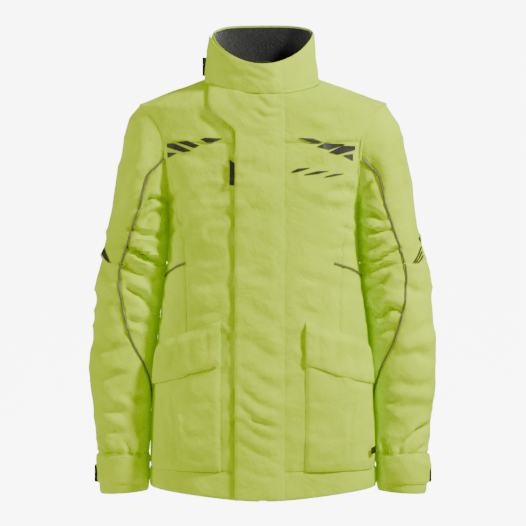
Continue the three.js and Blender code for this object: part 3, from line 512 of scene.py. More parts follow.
def mixOf(tree, fac, a, b, how="MIX"):
    node = addNode(tree, "ShaderNodeMix", {"data_type": "RGBA", "blend_type": how}, i0=fac)
    for value, socket in ((a, node.inputs[6]), (b, node.inputs[7])):
        if isinstance(value, bpy.types.NodeSocket):
            tree.links.new(value, socket)
        else:
            socket.default_value = value
    return node.outputs[2]


def mathOf(tree, operation, a, b=0.0):
    return addNode(tree, "ShaderNodeMath", {"operation": operation}, i0=a, i1=b).outputs[0]


def bumpOf(tree, height, strength, distance, normal=None):
    links = {"Strength": strength, "Distance": distance, "Height": height}
    if normal is not None:
        links["Normal"] = normal
    return addNode(tree, "ShaderNodeBump", **links).outputs["Normal"]


def weaveHeight(tree, thread):
    # an over-and-under weave: two sets of rounded threads, one per way of the cloth
    uv = addNode(tree, "ShaderNodeUVMap", {"uv_map": "cloth"}).outputs["UV"]
    parts = addNode(tree, "ShaderNodeSeparateXYZ", Vector=uv).outputs
    waves = [mathOf(tree, "SINE", mathOf(tree, "MULTIPLY", parts[k], math.pi / thread)) for k in (0, 1)]
    return mathOf(tree, "MULTIPLY", waves[0], waves[1]), uv


# the glow colour and its strength are a painted glow: emission standing in for the dye's fluorescence
shellLook = {
    "bright": "#cdea12", "mid": "#c3e00a", "deep": "#b8d606", "worn": "#d2ea30", "glow": "#b0e000", "glowing": 0.1,
    "thread": 0.0009,  # drawn twice as coarse as the real weave, so that it shows from a metre away
    "roughness": 0.78, "crumple": 0.3,
}


def shellMaterial():
    # coated hi-vis polyester: yellow-green dye with a painted glow (emission that brightens it under any light,
    # standing in for the dye's fluorescence), matt with fine crumples
    material, tree, bsdf = newMaterial("coated hi-vis polyester")
    place = addNode(tree, "ShaderNodeTexCoord").outputs["Object"]
    broad = addNode(tree, "ShaderNodeTexNoise", Vector=place, Scale=9.0, Detail=4.0, Roughness=0.55).outputs["Fac"]
    fine = addNode(tree, "ShaderNodeTexNoise", Vector=place, Scale=420.0, Detail=2.0).outputs["Fac"]
    colour = rampOf(tree, broad, [(0.3, shellLook["deep"]), (0.5, shellLook["mid"]), (0.72, shellLook["bright"])])
    rubbed = addNode(tree, "ShaderNodeTexNoise", Vector=place, Scale=31.0, Detail=6.0, Roughness=0.7).outputs["Fac"]
    worn = mathOf(tree, "MULTIPLY", mathOf(tree, "GREATER_THAN", rubbed, 0.66), 0.28)
    colour = mixOf(tree, worn, colour, toLinear(shellLook["worn"]))
    weave = weaveHeight(tree, shellLook["thread"])[0]
    shade = addNode(tree, "ShaderNodeMapRange", Value=weave, i1=-1.0, i2=1.0, i3=0.93, i4=1.04).outputs[0]
    shading = addNode(tree, "ShaderNodeCombineColor", i0=shade, i1=shade, i2=shade).outputs[0]
    colour = mixOf(tree, 1.0, colour, shading, "MULTIPLY")
    tree.links.new(colour, bsdf.inputs["Base Color"])
    bsdf.inputs["Specular IOR Level"].default_value = 0.07
    # painted glow: a yellow-green emission that brightens the cloth whatever the lamps do, in place of real
    # fluorescence
    bsdf.inputs["Emission Color"].default_value = toLinear(shellLook["glow"])
    bsdf.inputs["Emission Strength"].default_value = shellLook["glowing"]
    rough = addNode(tree, "ShaderNodeMapRange", Value=rubbed, i1=0.3, i2=0.7, i3=shellLook["roughness"] - 0.06,
                    i4=shellLook["roughness"] + 0.1).outputs[0]
    tree.links.new(rough, bsdf.inputs["Roughness"])
    crease = addNode(tree, "ShaderNodeTexNoise", {"noise_dimensions": "3D"}, Vector=place, Scale=62.0, Detail=5.0,
                     Roughness=0.62, Distortion=0.8).outputs["Fac"]
    folds = addNode(tree, "ShaderNodeTexNoise", Vector=place, Scale=24.0, Detail=3.0, Distortion=0.5).outputs["Fac"]
    normal = bumpOf(tree, folds, 0.45, 0.012)
    normal = bumpOf(tree, crease, shellLook["crumple"], 0.004, normal)
    normal = bumpOf(tree, weave, 0.25, 0.0002, normal)
    tree.links.new(bumpOf(tree, fine, 0.12, 0.0004, normal), bsdf.inputs["Normal"])
    return material


def plainCloth(name, dark, light, thread, roughness, depth=0.0004, patchScale=40.0):
    # a woven or knitted cloth in two close tones with its threads raised; the weave also darkens the gaps between
    # threads as painted shade
    material, tree, bsdf = newMaterial(name)
    place = addNode(tree, "ShaderNodeTexCoord").outputs["Object"]
    tone = addNode(tree, "ShaderNodeTexNoise", Vector=place, Scale=patchScale, Detail=5.0).outputs["Fac"]
    weave = weaveHeight(tree, thread)[0]
    # the weave's height shifts the tone: painted shade, darker in the gaps between threads
    both = mathOf(tree, "ADD", tone, mathOf(tree, "MULTIPLY", weave, 0.12))
    tree.links.new(rampOf(tree, both, [(0.35, dark), (0.7, light)]), bsdf.inputs["Base Color"])
    bsdf.inputs["Roughness"].default_value = roughness
    tree.links.new(bumpOf(tree, weave, 0.6, depth), bsdf.inputs["Normal"])
    return material


def fleeceMaterial():
    # short pile fleece: nearly black, with soft clumped tufts and a dusty edge glow
    material, tree, bsdf = newMaterial("short pile fleece")
    place = addNode(tree, "ShaderNodeTexCoord").outputs["Object"]
    tufts = addNode(tree, "ShaderNodeTexVoronoi", {"feature": "SMOOTH_F1"}, Vector=place, Scale=380.0,
                    Smoothness=0.6).outputs["Distance"]
    clumps = addNode(tree, "ShaderNodeTexNoise", Vector=place, Scale=85.0, Detail=5.0, Roughness=0.7).outputs["Fac"]
    both = mathOf(tree, "ADD", mathOf(tree, "MULTIPLY", tufts, 0.5), mathOf(tree, "MULTIPLY", clumps, 0.6))
    colour = rampOf(tree, both, [(0.25, "#0d0e0b"), (0.6, "#1f211a"), (0.85, "#34362c")])
    tree.links.new(colour, bsdf.inputs["Base Color"])
    bsdf.inputs["Roughness"].default_value = 0.95
    bsdf.inputs["Sheen Weight"].default_value = 0.5
    bsdf.inputs["Sheen Roughness"].default_value = 0.5
    tree.links.new(bumpOf(tree, both, 0.9, 0.003), bsdf.inputs["Normal"])
    return material


def filmMaterial(name, base, light, roughness, grain, metal=0.0):
    # a printed or moulded film: one tone with faint grain, so that it reads flatter than cloth
    material, tree, bsdf = newMaterial(name)
    place = addNode(tree, "ShaderNodeTexCoord").outputs["Object"]
    fleck = addNode(tree, "ShaderNodeTexNoise", Vector=place, Scale=grain, Detail=5.0).outputs["Fac"]
    tree.links.new(rampOf(tree, fleck, [(0.35, base), (0.75, light)]), bsdf.inputs["Base Color"])
    tree.links.new(addNode(tree, "ShaderNodeMapRange", Value=fleck, i3=roughness - 0.1, i4=roughness + 0.1).outputs[0],
                   bsdf.inputs["Roughness"])
    bsdf.inputs["Metallic"].default_value = metal
    tree.links.new(bumpOf(tree, fleck, 0.25, 0.0004), bsdf.inputs["Normal"])
    return material


shell = shellMaterial()
fleece = fleeceMaterial()
lining = plainCloth("pale mesh lining", "#8d938a", "#a9aea2", 0.0016, 0.8)
tapeCloth = plainCloth("woven zip tape", "#22241c", "#34362a", 0.0011, 0.8)
blackTape = filmMaterial("soft black rubber tab", "#0b0b0a", "#191918", 0.55, 300.0)
threadCloth = filmMaterial("yellow stitching thread", "#b3be2c", "#d6e04e", 0.7, 900.0)
film = filmMaterial("dark grey reflective film", "#22211b", "#312f28", 0.5, 260.0)
piping = filmMaterial("olive grey reflective piping", "#5f5c44", "#77745a", 0.45, 500.0)
hookCloth = plainCloth("hook and loop tape", "#1a1b16", "#2e2f28", 0.0014, 0.95, 0.0009)
plasticTeeth = filmMaterial("moulded plastic zip teeth", "#151613", "#2a2b26", 0.4, 400.0)
castMetal = filmMaterial("grey die cast metal", "#6e6f6c", "#9b9c98", 0.35, 700.0, 1.0)
print("materials ready")


# the body's cut pieces

stitched = {}  # rows of topstitching, gathered per body and sewn at the end


def topstitch(body, rows, lift=0.12):
    stitched.setdefault(body, []).extend((row, lift) for row in rows)


panelLook = {"yokeSeam": 609.5, "cell": 4.2, "seamInset": 0.05, "zipHalf": 6.5, "liningGap": 3.4}
princess = curve([(0, 132), (230, 132), (406, 135), (500, 147), (573, 160)])


def grid(across, up):
    return np.meshgrid(across, up, indexing="xy")


def hemLevel(angle):
    return jacket["hemRise"] * np.sin(angle) ** 2


def bandTop(angle):
    return jacket["hemBand"] + 4 * np.sin(angle) ** 2


def bodyPiece(name, left, right, foot, head, width, height, nodes, sides="lrbt", seed=1, lift=0.0, thick=None,
              material=None, slot="shell_fabric", strength=1.0, rows=(), extra=None):
    # left and right give an angle for each level, foot and head a level for each angle
    s, t = grid(spread(width, panelLook["cell"]), spread(height, panelLook["cell"]))
    v = t * (head(0.0) - foot(0.0)) + foot(0.0)
    for _ in range(3):
        inset = panelLook["seamInset"] / 180
        angle = lerp(left(v) + inset, right(v) - inset, s)
        v = lerp(foot(angle) + panelLook["seamInset"], head(angle) - panelLook["seamInset"], t)
    base = bodySurface
    p, n = base(angle, v)
    h = sewnRelief(p, sides, seed, strength) + lift
    if extra is not None:
        h = h + extra(p, angle, v)
    outer = p + n * h[..., None]
    inner = p + n * (lift - (jacket["fabric"] if thick is None else thick))
    obj = closedSheet(name, outer, inner, material or shell)
    declareCloth(outer)
    finishPiece(obj, "body", nodes)
    for mark in rows:
        topstitch("body", [outer[:, 4] if mark == "l" else outer[:, -5] if mark == "r" else outer[4] if mark == "b"
                           else outer[-5]])
    return outer


def level(value):
    return lambda angle: np.full_like(np.asarray(angle, float), value)


def frontEdge(v):
    return angleAt(np.full_like(np.asarray(v, float), panelLook["zipHalf"]), v)


def princessAngle(v):
    return angleAt(princess(np.minimum(v, 573)), v)


def armEdge(v):
    return edgeAngle(v, -1)


def sideTop(v):
    # the outer edge of the front panel: the princess seam, bending into the armhole near its top
    return lerp(princessAngle(v), armEdge(v), ease(v, 540, 571))


def backEdge(v):
    return edgeAngle(v, 1)


yoke = panelLook["yokeSeam"]
for seed, (name, side) in enumerate([("right", -1), ("left", 1)]):
    def place(a, b, side=side):
        # the same pair of edges, mirrored for the right front
        return (a, b) if side > 0 else (lambda v: -b(v), lambda v: -a(v))

    def marks(text, side=side):
        return text if side > 0 else text.translate(str.maketrans("lr", "rl"))

    bodyPiece(f"{name}_front_panel", *place(frontEdge, sideTop), bandTop, level(yoke), 140, 560,
              [f"{name}_front_panel"], seed=2 + seed, rows=marks("rt"))
    bodyPiece(f"{name}_side_front", *place(sideTop, armEdge), bandTop, level(571), 62, 520,
              [f"{name}_side_front"], seed=4 + seed)
    bodyPiece(f"{name}_front_yoke", *place(frontEdge, armEdge), level(yoke), level(jacket["neck"]), 180, 107,
              [f"{name}_front_yoke"], seed=6 + seed, rows=marks("rb"))
    bodyPiece(f"{name}_front_hem_band", *place(frontEdge, level(90 * deg)), hemLevel, bandTop, 250, 42,
              [f"{name}_front_hem_band"], seed=8 + seed, rows="bt", strength=1.15)
    gap = panelLook["liningGap"]
    bodyPiece(f"{name}_front_lining", *place(level(9 * deg), armEdge), level(30), level(690), 200, 600,
              [f"{name}_front_lining"], seed=10 + seed, lift=-jacket["fabric"] - gap, thick=1.3, material=lining,
              slot="mesh_lining", strength=0.3)

bodyPiece("back_panel", backEdge, lambda v: 360 * deg - backEdge(v), bandTop, level(yoke), 420, 560, ["back_panel"],
          seed=14, rows="lrt")
bodyPiece("back_yoke", backEdge, lambda v: 360 * deg - backEdge(v), level(yoke), level(jacket["neck"]), 420, 107,
          ["back_yoke"], seed=15, rows="b")
bodyPiece("back_hem_band", level(90 * deg), level(270 * deg), hemLevel, bandTop, 420, 42, ["back_hem_band"],
          seed=16, rows="bt", strength=1.15)
bodyPiece("back_lining", backEdge, lambda v: 360 * deg - backEdge(v), level(30), level(690), 420, 600,
          ["back_lining"], seed=17, lift=-jacket["fabric"] - gap, thick=1.3, material=lining, slot="mesh_lining",
          strength=0.3)
print("body panels ready")


# collar, storm flap, pockets

def surfacePiece(name, surface, s, t, material, body, slot, nodes, lift, thick=2.4, sides="lrbt", seed=1,
                 strength=1.0, extra=None, cloth=True, rows=""):
    # one cut piece on any surface, s across it and t up it, with its own height over the surface
    p, n = surface(s, t)
    low = lift(s, t) if callable(lift) else np.full(s.shape, float(lift))
    h = low + thick + sewnRelief(p, sides, seed, strength)
    if extra is not None:
        more = extra(p, s, t)
        h, low = h + more, low + 0.8 * np.maximum(more, 0)
    outer = p + n * h[..., None]
    inner = p + n * np.minimum(low, h - 0.5)[..., None]
    obj = closedSheet(name, outer, inner, material)
    if cloth:
        declareCloth(outer)
    finishPiece(obj, body, nodes)
    for mark in rows:
        row = {"l": outer[:, 4], "r": outer[:, -5], "b": outer[4], "t": outer[-5],
               "L": outer[:, 6], "R": outer[:, -7], "B": outer[6], "T": outer[-7]}[mark]
        topstitch(body if isinstance(body, str) else body, [row])
    return outer


def collarAround(s, t):
    edge = math.asin(panelLook["zipHalf"] / jacket["neckHalf"])
    return collarSurface(lerp(edge, 360 * deg - edge, s), t)


collarLook = {"thick": 2.6, "pileGap": 0.3, "pile": 3.2}
around, tall = spread(470, 4.2), spread(92, 3.4)
surfacePiece("collar_outer", collarAround, *grid(around, tall), shell, "body", "shell_fabric", ["collar_outer"],
             lift=-collarLook["thick"], thick=collarLook["thick"], seed=20, rows="tb")


def collarInside(s, t):
    return collarAround(s, 0.965 * t)


surfacePiece("collar_lining", collarInside, *grid(around, tall), fleece, "body", "fleece", ["collar_lining"],
             lift=-collarLook["thick"] - collarLook["pileGap"] - collarLook["pile"], thick=collarLook["pile"] - 0.9,
             seed=21, strength=0.2)

flapLook = {
    "seamX": 36, "standOff": 4.6, "rise": 0.3, "thick": 2.5, "collarStandOff": 6.2,
    "folds": [
        ([(-44, 196), (-10, 168), (34, 150)], 6, 2.4), ([(-46, 168), (-14, 138), (32, 124)], 5, 2.8),
        ([(-44, 140), (-8, 112), (30, 98)], 6, 1.8), ([(-42, 232), (-6, 210), (33, 184)], 7, 1.8),
        ([(-46, 110), (-16, 84), (26, 70)], 6, 1.6), ([(-40, 284), (0, 256), (34, 240)], 8, 1.4),
        ([(-42, 340), (-10, 322), (32, 296)], 9, 1.4), ([(-44, 404), (-12, 386), (30, 372)], 9, 1.3),
        ([(-40, 458), (-6, 444), (32, 420)], 9, 1.2), ([(-42, 520), (-16, 500), (30, 492)], 9, 1.2),
        ([(-20, 668), (4, 652), (36, 656)], 4, 2.2), ([(-10, 688), (10, 668), (36, 668)], 4, 2.4),
        ([(-74, 700), (-40, 664), (-8, 640)], 8, 1.6), ([(-60, 650), (-30, 620), (24, 604)], 9, 1.4),
        ([(-40, 580), (-8, 560), (30, 556)], 9, 1.0), ([(-44, 60), (-8, 44), (30, 40)], 6, 1.2),
    ],
}
flapEdge = curve([(0, -48), (621.8, -48), (637.5, -52), (672, -89), (716, -92)])


def flapSurface(s, t):
    v = 2 + t * (jacket["neck"] - 6)
    for _ in range(3):
        angle = angleAt(lerp(flapLook["seamX"], flapEdge(v), s), v)
        v = 1.5 + t * (jacket["neck"] - 1.6 - 1.4 * np.sin(angle) ** 2)
    return bodySurface(angle, v)


def flapFolds(p, s, t):
    # drag lines from the free edge down to the seam, deepest low on the flap, and a wavy free edge
    wave = 0.7 * noise(p * [1, 1, 1], 26, 33) + 0.8 * noise(p * [0.3, 1, 1], 17, 34) * ease(s, 0.75, 1)
    return (creaseHeight(p[..., 0], p[..., 2], flapLook["folds"]) + wave) * ease(s, 0, 0.1) + 0.4


flapBlend = ("body", "storm_flap", toFrame(np.array([36.0, -120, 300])), toFrame(np.array([22.0, -120, 300])))
flapBlend = flapBlend[:2] + tuple(tuple(float(x) for x in p) for p in flapBlend[2:])
surfacePiece("storm_flap", flapSurface, *grid(spread(92, 3.0), spread(716, 3.2)), shell, flapBlend, "shell_fabric",
             ["storm_flap"],
             lift=lambda s, t: 0.9 + (flapLook["standOff"] - 0.9) * ease(s, 0, flapLook["rise"]), seed=22,
             extra=flapFolds, rows="lLrR")


def collarFlapSurface(s, t):
    seam = math.asin(flapLook["seamX"] / jacket["neckHalf"])
    return collarSurface(lerp(seam, -88 * deg, s), lerp(-0.02, 0.995, t))


collarFolds = [
    ([(26, 800), (31, 768), (27, 736), (34, 715)], 3.5, 1.8), ([(-24, 742), (6, 726), (30, 716)], 4, 2.0),
    ([(-30, 728), (0, 716), (24, 712)], 5, 1.2), ([(-76, 748), (-52, 730), (-28, 722)], 8, 1.2),
]


def collarFlapFolds(p, s, t):
    return (creaseHeight(p[..., 0], p[..., 2], collarFolds) + 0.8 * noise(p, 26, 35)) * ease(s, 0, 0.1) + 0.5


def collarFlapLift(s, t):
    off = lerp(lerp(flapLook["standOff"], flapLook["collarStandOff"], ease(t, 0, 0.4)), 3, ease(s, 0.4, 0.9))
    return 0.9 + (off - 0.9) * ease(s, 0, 0.13)


surfacePiece("collar_flap", collarFlapSurface, *grid(spread(150, 3.2), spread(60, 3.0)), shell, flapBlend,
             "shell_fabric", ["collar_flap"], lift=collarFlapLift, seed=23, extra=collarFlapFolds, rows="lrtb")

for k, foot in enumerate([0.19 * jacket["neck"], 0.62 * jacket["neck"]]):
    def patch(s, t, foot=foot):
        v = foot + 60 * t
        return bodySurface(angleAt(-45 + 20 * s, v), v)
    s, t = grid(np.linspace(0, 1, 9), np.linspace(0, 1, 21))
    surfacePiece(f"flap_loop_patch_{k + 1}", patch, s, t, hookCloth, "body", "hook_and_loop",
                 [f"flap_loop_patch_{k + 1}"], lift=0.4, thick=1.0, sides="", seed=24, cloth=True)
    surfacePiece(f"flap_hook_patch_{k + 1}", patch, s, t, hookCloth, "storm_flap", "hook_and_loop",
                 [f"flap_hook_patch_{k + 1}"], lift=2.4, thick=1.5, sides="", seed=24, cloth=True)

pocketLook = {
    "innerX": 72, "outerAngle": 76 * deg, "top": 306, "slope": 0.36, "foot": 50, "mouthDrop": 16,
    "flapHeight": 76, "depthTop": 6.0, "depthFoot": 6.6,
}


def pocketSeam(angle):
    across = np.abs(bodyBase(angle, np.full_like(angle, pocketLook["top"]))[..., 0])
    return pocketLook["top"] - pocketLook["slope"] * (across - pocketLook["innerX"])


def pocketAngle(s, v):
    return lerp(angleAt(np.full_like(v, pocketLook["innerX"]), v), pocketLook["outerAngle"], s)


def pocketSurface(side, head, height):
    # s runs outwards; t runs up from the foot, or down from the seam for the flap
    def surface(s, t):
        v = lerp(pocketLook["foot"], pocketLook["top"], t)
        for _ in range(2):
            angle = pocketAngle(s, v)
            v = lerp(pocketLook["foot"], pocketSeam(angle) - pocketLook["mouthDrop"], t) if height is None else \
                pocketSeam(angle) - height * (1 - t)
        return bodySurface(side * angle, v)
    return surface


def pocketFolds(side):
    pleat = [([(side * 154, 190), (side * 146, 130), (side * 144, 58)], 3.0, 2.2),
             ([(side * 170, 150), (side * 156, 128), (side * 150, 96)], 6, 1.8),
             ([(side * 76, 176), (side * 98, 166), (side * 128, 172)], 7, 1.2),
             ([(side * 78, 118), (side * 100, 104), (side * 136, 112)], 8, 1.3),
             ([(side * 80, 74), (side * 104, 66), (side * 132, 78)], 6, 1.3)]

    def extra(p, s, t):
        return creaseHeight(p[..., 0], p[..., 2], pleat) + 1.3 * noise(p, 40, 36 + side) + 0.4 * noise(p, 16, 38)
    return extra


def bagLift(s, t):
    # the bag stands off the body inside its borders and comes down to it at the sides and foot
    depth = lerp(pocketLook["depthFoot"], pocketLook["depthTop"], t) - 2.4
    wide, high = 125.0, 225.0
    shore = np.minimum(np.minimum(s, 1 - s) * wide, t * high * 0.45)
    return 0.9 + (depth - 0.9) * ease(shore, 0, 8)


def flapOverBag(s, t):
    # the pocket's flap leaves its seam close to the body and hangs over the bag
    low = lerp(pocketLook["depthFoot"], pocketLook["depthTop"], np.clip(1 - ((1 - t) * 76 - 16) / 250, 0, 1)) + 2.4
    return 0.9 + (low - 0.9) * ease(1 - t, 0, 0.24)


def pocketFlapFolds(side):
    ripples = [([(side * 96, 296), (side * 92, 262), (side * 95, 234)], 4, 1.7),
               ([(side * 118, 290), (side * 121, 258), (side * 116, 222)], 5, 1.4),
               ([(side * 150, 282), (side * 146, 250), (side * 152, 214)], 5, 1.6),
               ([(side * 172, 270), (side * 166, 238), (side * 172, 206)], 4, 1.4)]

    def extra(p, s, t):
        curl = 1.2 * noise(p * [1, 1, 0.4], 22, 44 + side) * ease(1 - t, 0.5, 1)
        return creaseHeight(p[..., 0], p[..., 2], ripples) * 0.8 + curl + 0.5 * noise(p, 30, 46)
    return extra


for name, side in [("right", -1), ("left", 1)]:
    surfacePiece(f"{name}_pocket_bag", pocketSurface(side, None, None), *grid(spread(125, 3.4), spread(225, 3.4)),
                 shell, "body", "shell_fabric", [f"{name}_pocket_bag"], lift=bagLift, seed=25, sides="lrb",
                 extra=pocketFolds(side), rows="lrb")
    flapSide = pocketSurface(side, None, pocketLook["flapHeight"])
    seam = pocketSeam(np.array([50 * deg]))[0]
    hinge = toFrame(np.array([side * 135.0, -90, seam - 1])), toFrame(np.array([side * 135.0, -96, seam - 13]))
    lifted = ("body", f"{name}_pocket_flap") + tuple(tuple(float(x) for x in p) for p in hinge)
    surfacePiece(f"{name}_pocket_flap", flapSide, *grid(spread(130, 3.2), spread(76, 3.0)), shell, lifted,
                 "shell_fabric", [f"{name}_pocket_flap"], lift=flapOverBag, seed=26, extra=pocketFlapFolds(side),
                 rows="lrbBt")
print("collar, flap and pockets ready")


# sleeves

sleeveLook = {"front": [(0, 92), (1, 98), (2, 92), (4, 87), (7, 70), (8, 72), (9, 96), (10, 132), (11, 186),
                        (12, 186), (13, 186)],
              "back": -165, "cell": 3.6, "liningGap": 4.6, "swingReach": 85, "bendReach": 105}
pipedSeam = curve(sleeveLook["front"])


def sleevePiece(name, side, edges, rings, width, height, body, nodes, seed, sides="lrbt", lift=0.0, thick=None,
                material=None, strength=1.0, rows="", ring=False):
    # edges give the two turns in degrees for each ring index
    s, t = grid(spread(width, sleeveLook["cell"]), spread(height, sleeveLook["cell"]))
    index = lerp(rings[0], rings[1], t)
    turn = lerp(edges[0](index), edges[1](index), s) * deg
    surface = sleeveSurface(side)
    p, n = surface(turn, index)
    low = lift(index) if callable(lift) else np.full(s.shape, float(lift))
    h = sewnRelief(p, sides, seed, strength) + low
    outer = p + n * h[..., None]
    inner = p + n * (low - (jacket["fabric"] if thick is None else thick))[..., None]
    obj = closedSheet(name, outer, inner, material or shell)
    declareCloth(outer)
    finishPiece(obj, body, nodes)
    for mark in rows:
        topstitch(body, [outer[:, 4] if mark == "l" else outer[:, -5] if mark == "r" else outer[4, 5:-4] if mark == "b"
                         else outer[-5, 5:-4]])


def flat(value):
    return lambda index: np.full_like(index, float(value))


def bendSpan(side, point, way, reach):
    # two points, in the frame's metres: a start and the point a reach further along a way, marking where a piece would
    # start to follow the next body and where it would be fully with it; nothing in this script bends the piece
    start = toFrame(np.array([side * point[0], point[1], point[2]], float))
    step = np.array([side * way[0], way[1], way[2]], float)
    end = start + step / np.linalg.norm(step) * reach / 1000
    return tuple(float(x) for x in start), tuple(float(x) for x in end)


sleeveBodies = {}
for name, side in [("right", -1), ("left", 1)]:
    armhole = bendSpan(side, (170, 0, 590), (0.964, 0, -0.266), sleeveLook["swingReach"])
    elbow = bendSpan(side, (230, 0, 400), (0, 0, -1), sleeveLook["bendReach"])
    upper = ("body", f"{name}_upper_sleeve") + armhole
    fore = (f"{name}_upper_sleeve", f"{name}_forearm") + elbow
    sleeveBodies[name] = (upper, fore)
    outerEdges = (flat(sleeveLook["back"]), pipedSeam)
    innerEdges = (pipedSeam, flat(sleeveLook["back"] + 360))
    n = 50 + 10 * side
    sleevePiece(f"{name}_upper_sleeve_outer", side, outerEdges, (0, 7), 290, 300, upper,
                [f"{name}_upper_sleeve_outer"], n, rows="rb")
    sleevePiece(f"{name}_upper_sleeve_inner", side, innerEdges, (0, 7), 150, 150, upper,
                [f"{name}_upper_sleeve_inner"], n + 1)
    sleevePiece(f"{name}_forearm_outer", side, outerEdges, (7, 12), 230, 330, fore, [f"{name}_forearm_outer"], n + 2)
    sleevePiece(f"{name}_forearm_inner", side, innerEdges, (7, 12), 150, 330, fore, [f"{name}_forearm_inner"], n + 3)
    whole = (flat(-195), flat(165))
    sleevePiece(f"{name}_cuff_band", side, whole, (12, 13), 290, 72, f"{name}_forearm", [f"{name}_cuff_band"], n + 4,
                rows="t", strength=1.2)
    g = -jacket["fabric"] - sleeveLook["liningGap"]
    sleevePiece(f"{name}_upper_sleeve_lining", side, whole, (0.0, 7), 330, 200, upper,
                [f"{name}_upper_sleeve_lining"], n + 5, lift=lambda i, g=g: lerp(-4.4, g, ease(i, 0, 0.6)),
                thick=1.2, material=lining,
                strength=0.2)
    sleevePiece(f"{name}_forearm_lining", side, whole, (7, 12.6), 300, 360, fore, [f"{name}_forearm_lining"], n + 6,
                lift=g, thick=1.2, material=lining, strength=0.2)
print("sleeves ready")


# straps, piping, tabs, prints

strapLook = {"sewn": 136, "free": -14, "foot": 12.76, "height": 50 / 72, "thick": 2.5}


def strapSurface(side):
    base = sleeveSurface(side)

    def surface(s, t):
        # the free end is cut to a shallow point with rounded corners
        tip = 10 * np.abs(2 * t - 1) ** 3 * ease(s, 0.7, 1)
        turn = lerp(strapLook["sewn"], strapLook["free"] + tip, s) * deg
        return base(turn, strapLook["foot"] - strapLook["height"] * t)
    return surface


def strapFolds(p, s, t):
    return 0.5 * noise(p, 20, 71) + 0.6 * noise(p * [0.4, 1, 1], 11, 72) * ease(s, 0.7, 1)


def pipingTube(name, line, normals, radius, material, body, nodes):
    # a cord under tape: a tube whose section is flattened on to the seam
    steps = np.gradient(line, axis=0)
    steps /= np.linalg.norm(steps, axis=-1, keepdims=True)
    sideways = np.cross(steps, normals)
    sideways /= np.linalg.norm(sideways, axis=-1, keepdims=True)
    section = np.linspace(0, 2 * np.pi, 11)[:-1]
    out = np.sin(section)[None, :, None] * normals[:, None] * radius * 0.85
    wide = np.cos(section)[None, :, None] * sideways[:, None] * radius
    outer = line[:, None] + out + wide
    rows, cols = outer.shape[:2]
    number = np.arange(rows * cols).reshape(rows, cols)
    nxt = np.roll(number, -1, 1)
    faces = np.stack([number[:-1], nxt[:-1], nxt[1:], number[1:]], -1).reshape(-1, 4)
    caps = []
    for row, way in ((number[0], -1), (number[-1], 1)):
        k = row[::way]
        caps += [[k[i], k[i + 1], k[9 - i - 1], k[9 - i]] for i in range(4)]
    faces = np.concatenate([faces, np.array(caps)])
    vertices = outer.reshape(-1, 3)
    p = vertices[faces]
    if np.einsum("ij,ij->i", p[:, 0], np.cross(p[:, 1], p[:, 2]) + np.cross(p[:, 2], p[:, 3])).sum() < 0:
        faces = faces[:, ::-1]
    walk = np.concatenate([[0], np.cumsum(np.linalg.norm(np.diff(line, axis=0), axis=-1))])
    uv = np.stack([np.tile(section * radius, (rows, 1)), np.tile(walk[:, None], (1, cols))], -1).reshape(-1, 2)
    obj = buildMesh(name, vertices, np.ascontiguousarray(faces), uv, material)
    finishPiece(obj, body, nodes)


for name, side in [("right", -1), ("left", 1)]:
    strap = strapSurface(side)
    surfacePiece(f"{name}_cuff_strap", strap, *grid(spread(200, 3.0), spread(50, 2.6)), shell, f"{name}_cuff_strap",
                 "shell_fabric", [f"{name}_cuff_strap"], lift=0.9, seed=70, extra=strapFolds, rows="rbt")

    def cuffTab(s, t, side=side):
        # sewn into the strap's free end and standing out beside the cuff
        cut = 2.0 * np.abs(2 * s - 1) ** 4
        up = lerp(22.5 + cut, 54 - cut, t)
        p = np.stack([side * (280.5 + 9 * s), -9 - 1.5 * s + 0 * t, up], -1)
        return p, np.broadcast_to(np.array([0.0, -1.0, 0.0]), p.shape)
    surfacePiece(f"{name}_cuff_label", cuffTab, *grid(np.linspace(0, 1, 11), np.linspace(0, 1, 25)), blackTape,
                 f"{name}_cuff_strap", "black_tape", [f"{name}_cuff_label"], lift=0.0, thick=1.0, sides="", cloth=False)

    upper, fore = sleeveBodies[name]
    surface = sleeveSurface(side)
    index = np.linspace(0.12, 6.98, 150)
    p, n = surface(pipedSeam(index) * deg, index)
    pipingTube(f"{name}_sleeve_piping", p + n * 0.5, n, 1.7, piping, upper, [f"{name}_sleeve_piping"])
    # the armhole's folded seam allowance, seen as a low welt that closes the join
    turn = np.linspace(0, 2 * np.pi, 160)
    p, n = surface(turn, np.zeros_like(turn))
    v = armholeLevel(turn)
    edge = edgeAngle(v, -1) * (np.sin(turn) > 0) + edgeAngle(v, 1) * (np.sin(turn) <= 0)
    n = n + normalOf(bodyBase, edge, np.minimum(v, 700), 0.02, 3) * np.array([side, 1, 1])
    n /= np.linalg.norm(n, axis=-1, keepdims=True)
    pipingTube(f"{name}_armhole_seam", p - n * 2.6, n, 2.9, shell, upper, [])
    index = np.linspace(7.02, 10.9, 120)
    p, n = surface(pipedSeam(index) * deg, index)
    pipingTube(f"{name}_forearm_piping", p + n * 0.5, n, 1.7, piping, fore, [])

    t = np.linspace(0, 1, 60)
    start = angleAt(134.0 if side < 0 else 121.0, 402.0)
    angle = lerp(start, 84 * deg, t)
    p, n = bodySurface(side * angle, 403 - 26 * t)
    pipingTube(f"{name}_hip_piping", p + n * 1.2, n, 1.9, piping, "body", [f"{name}_hip_piping"])


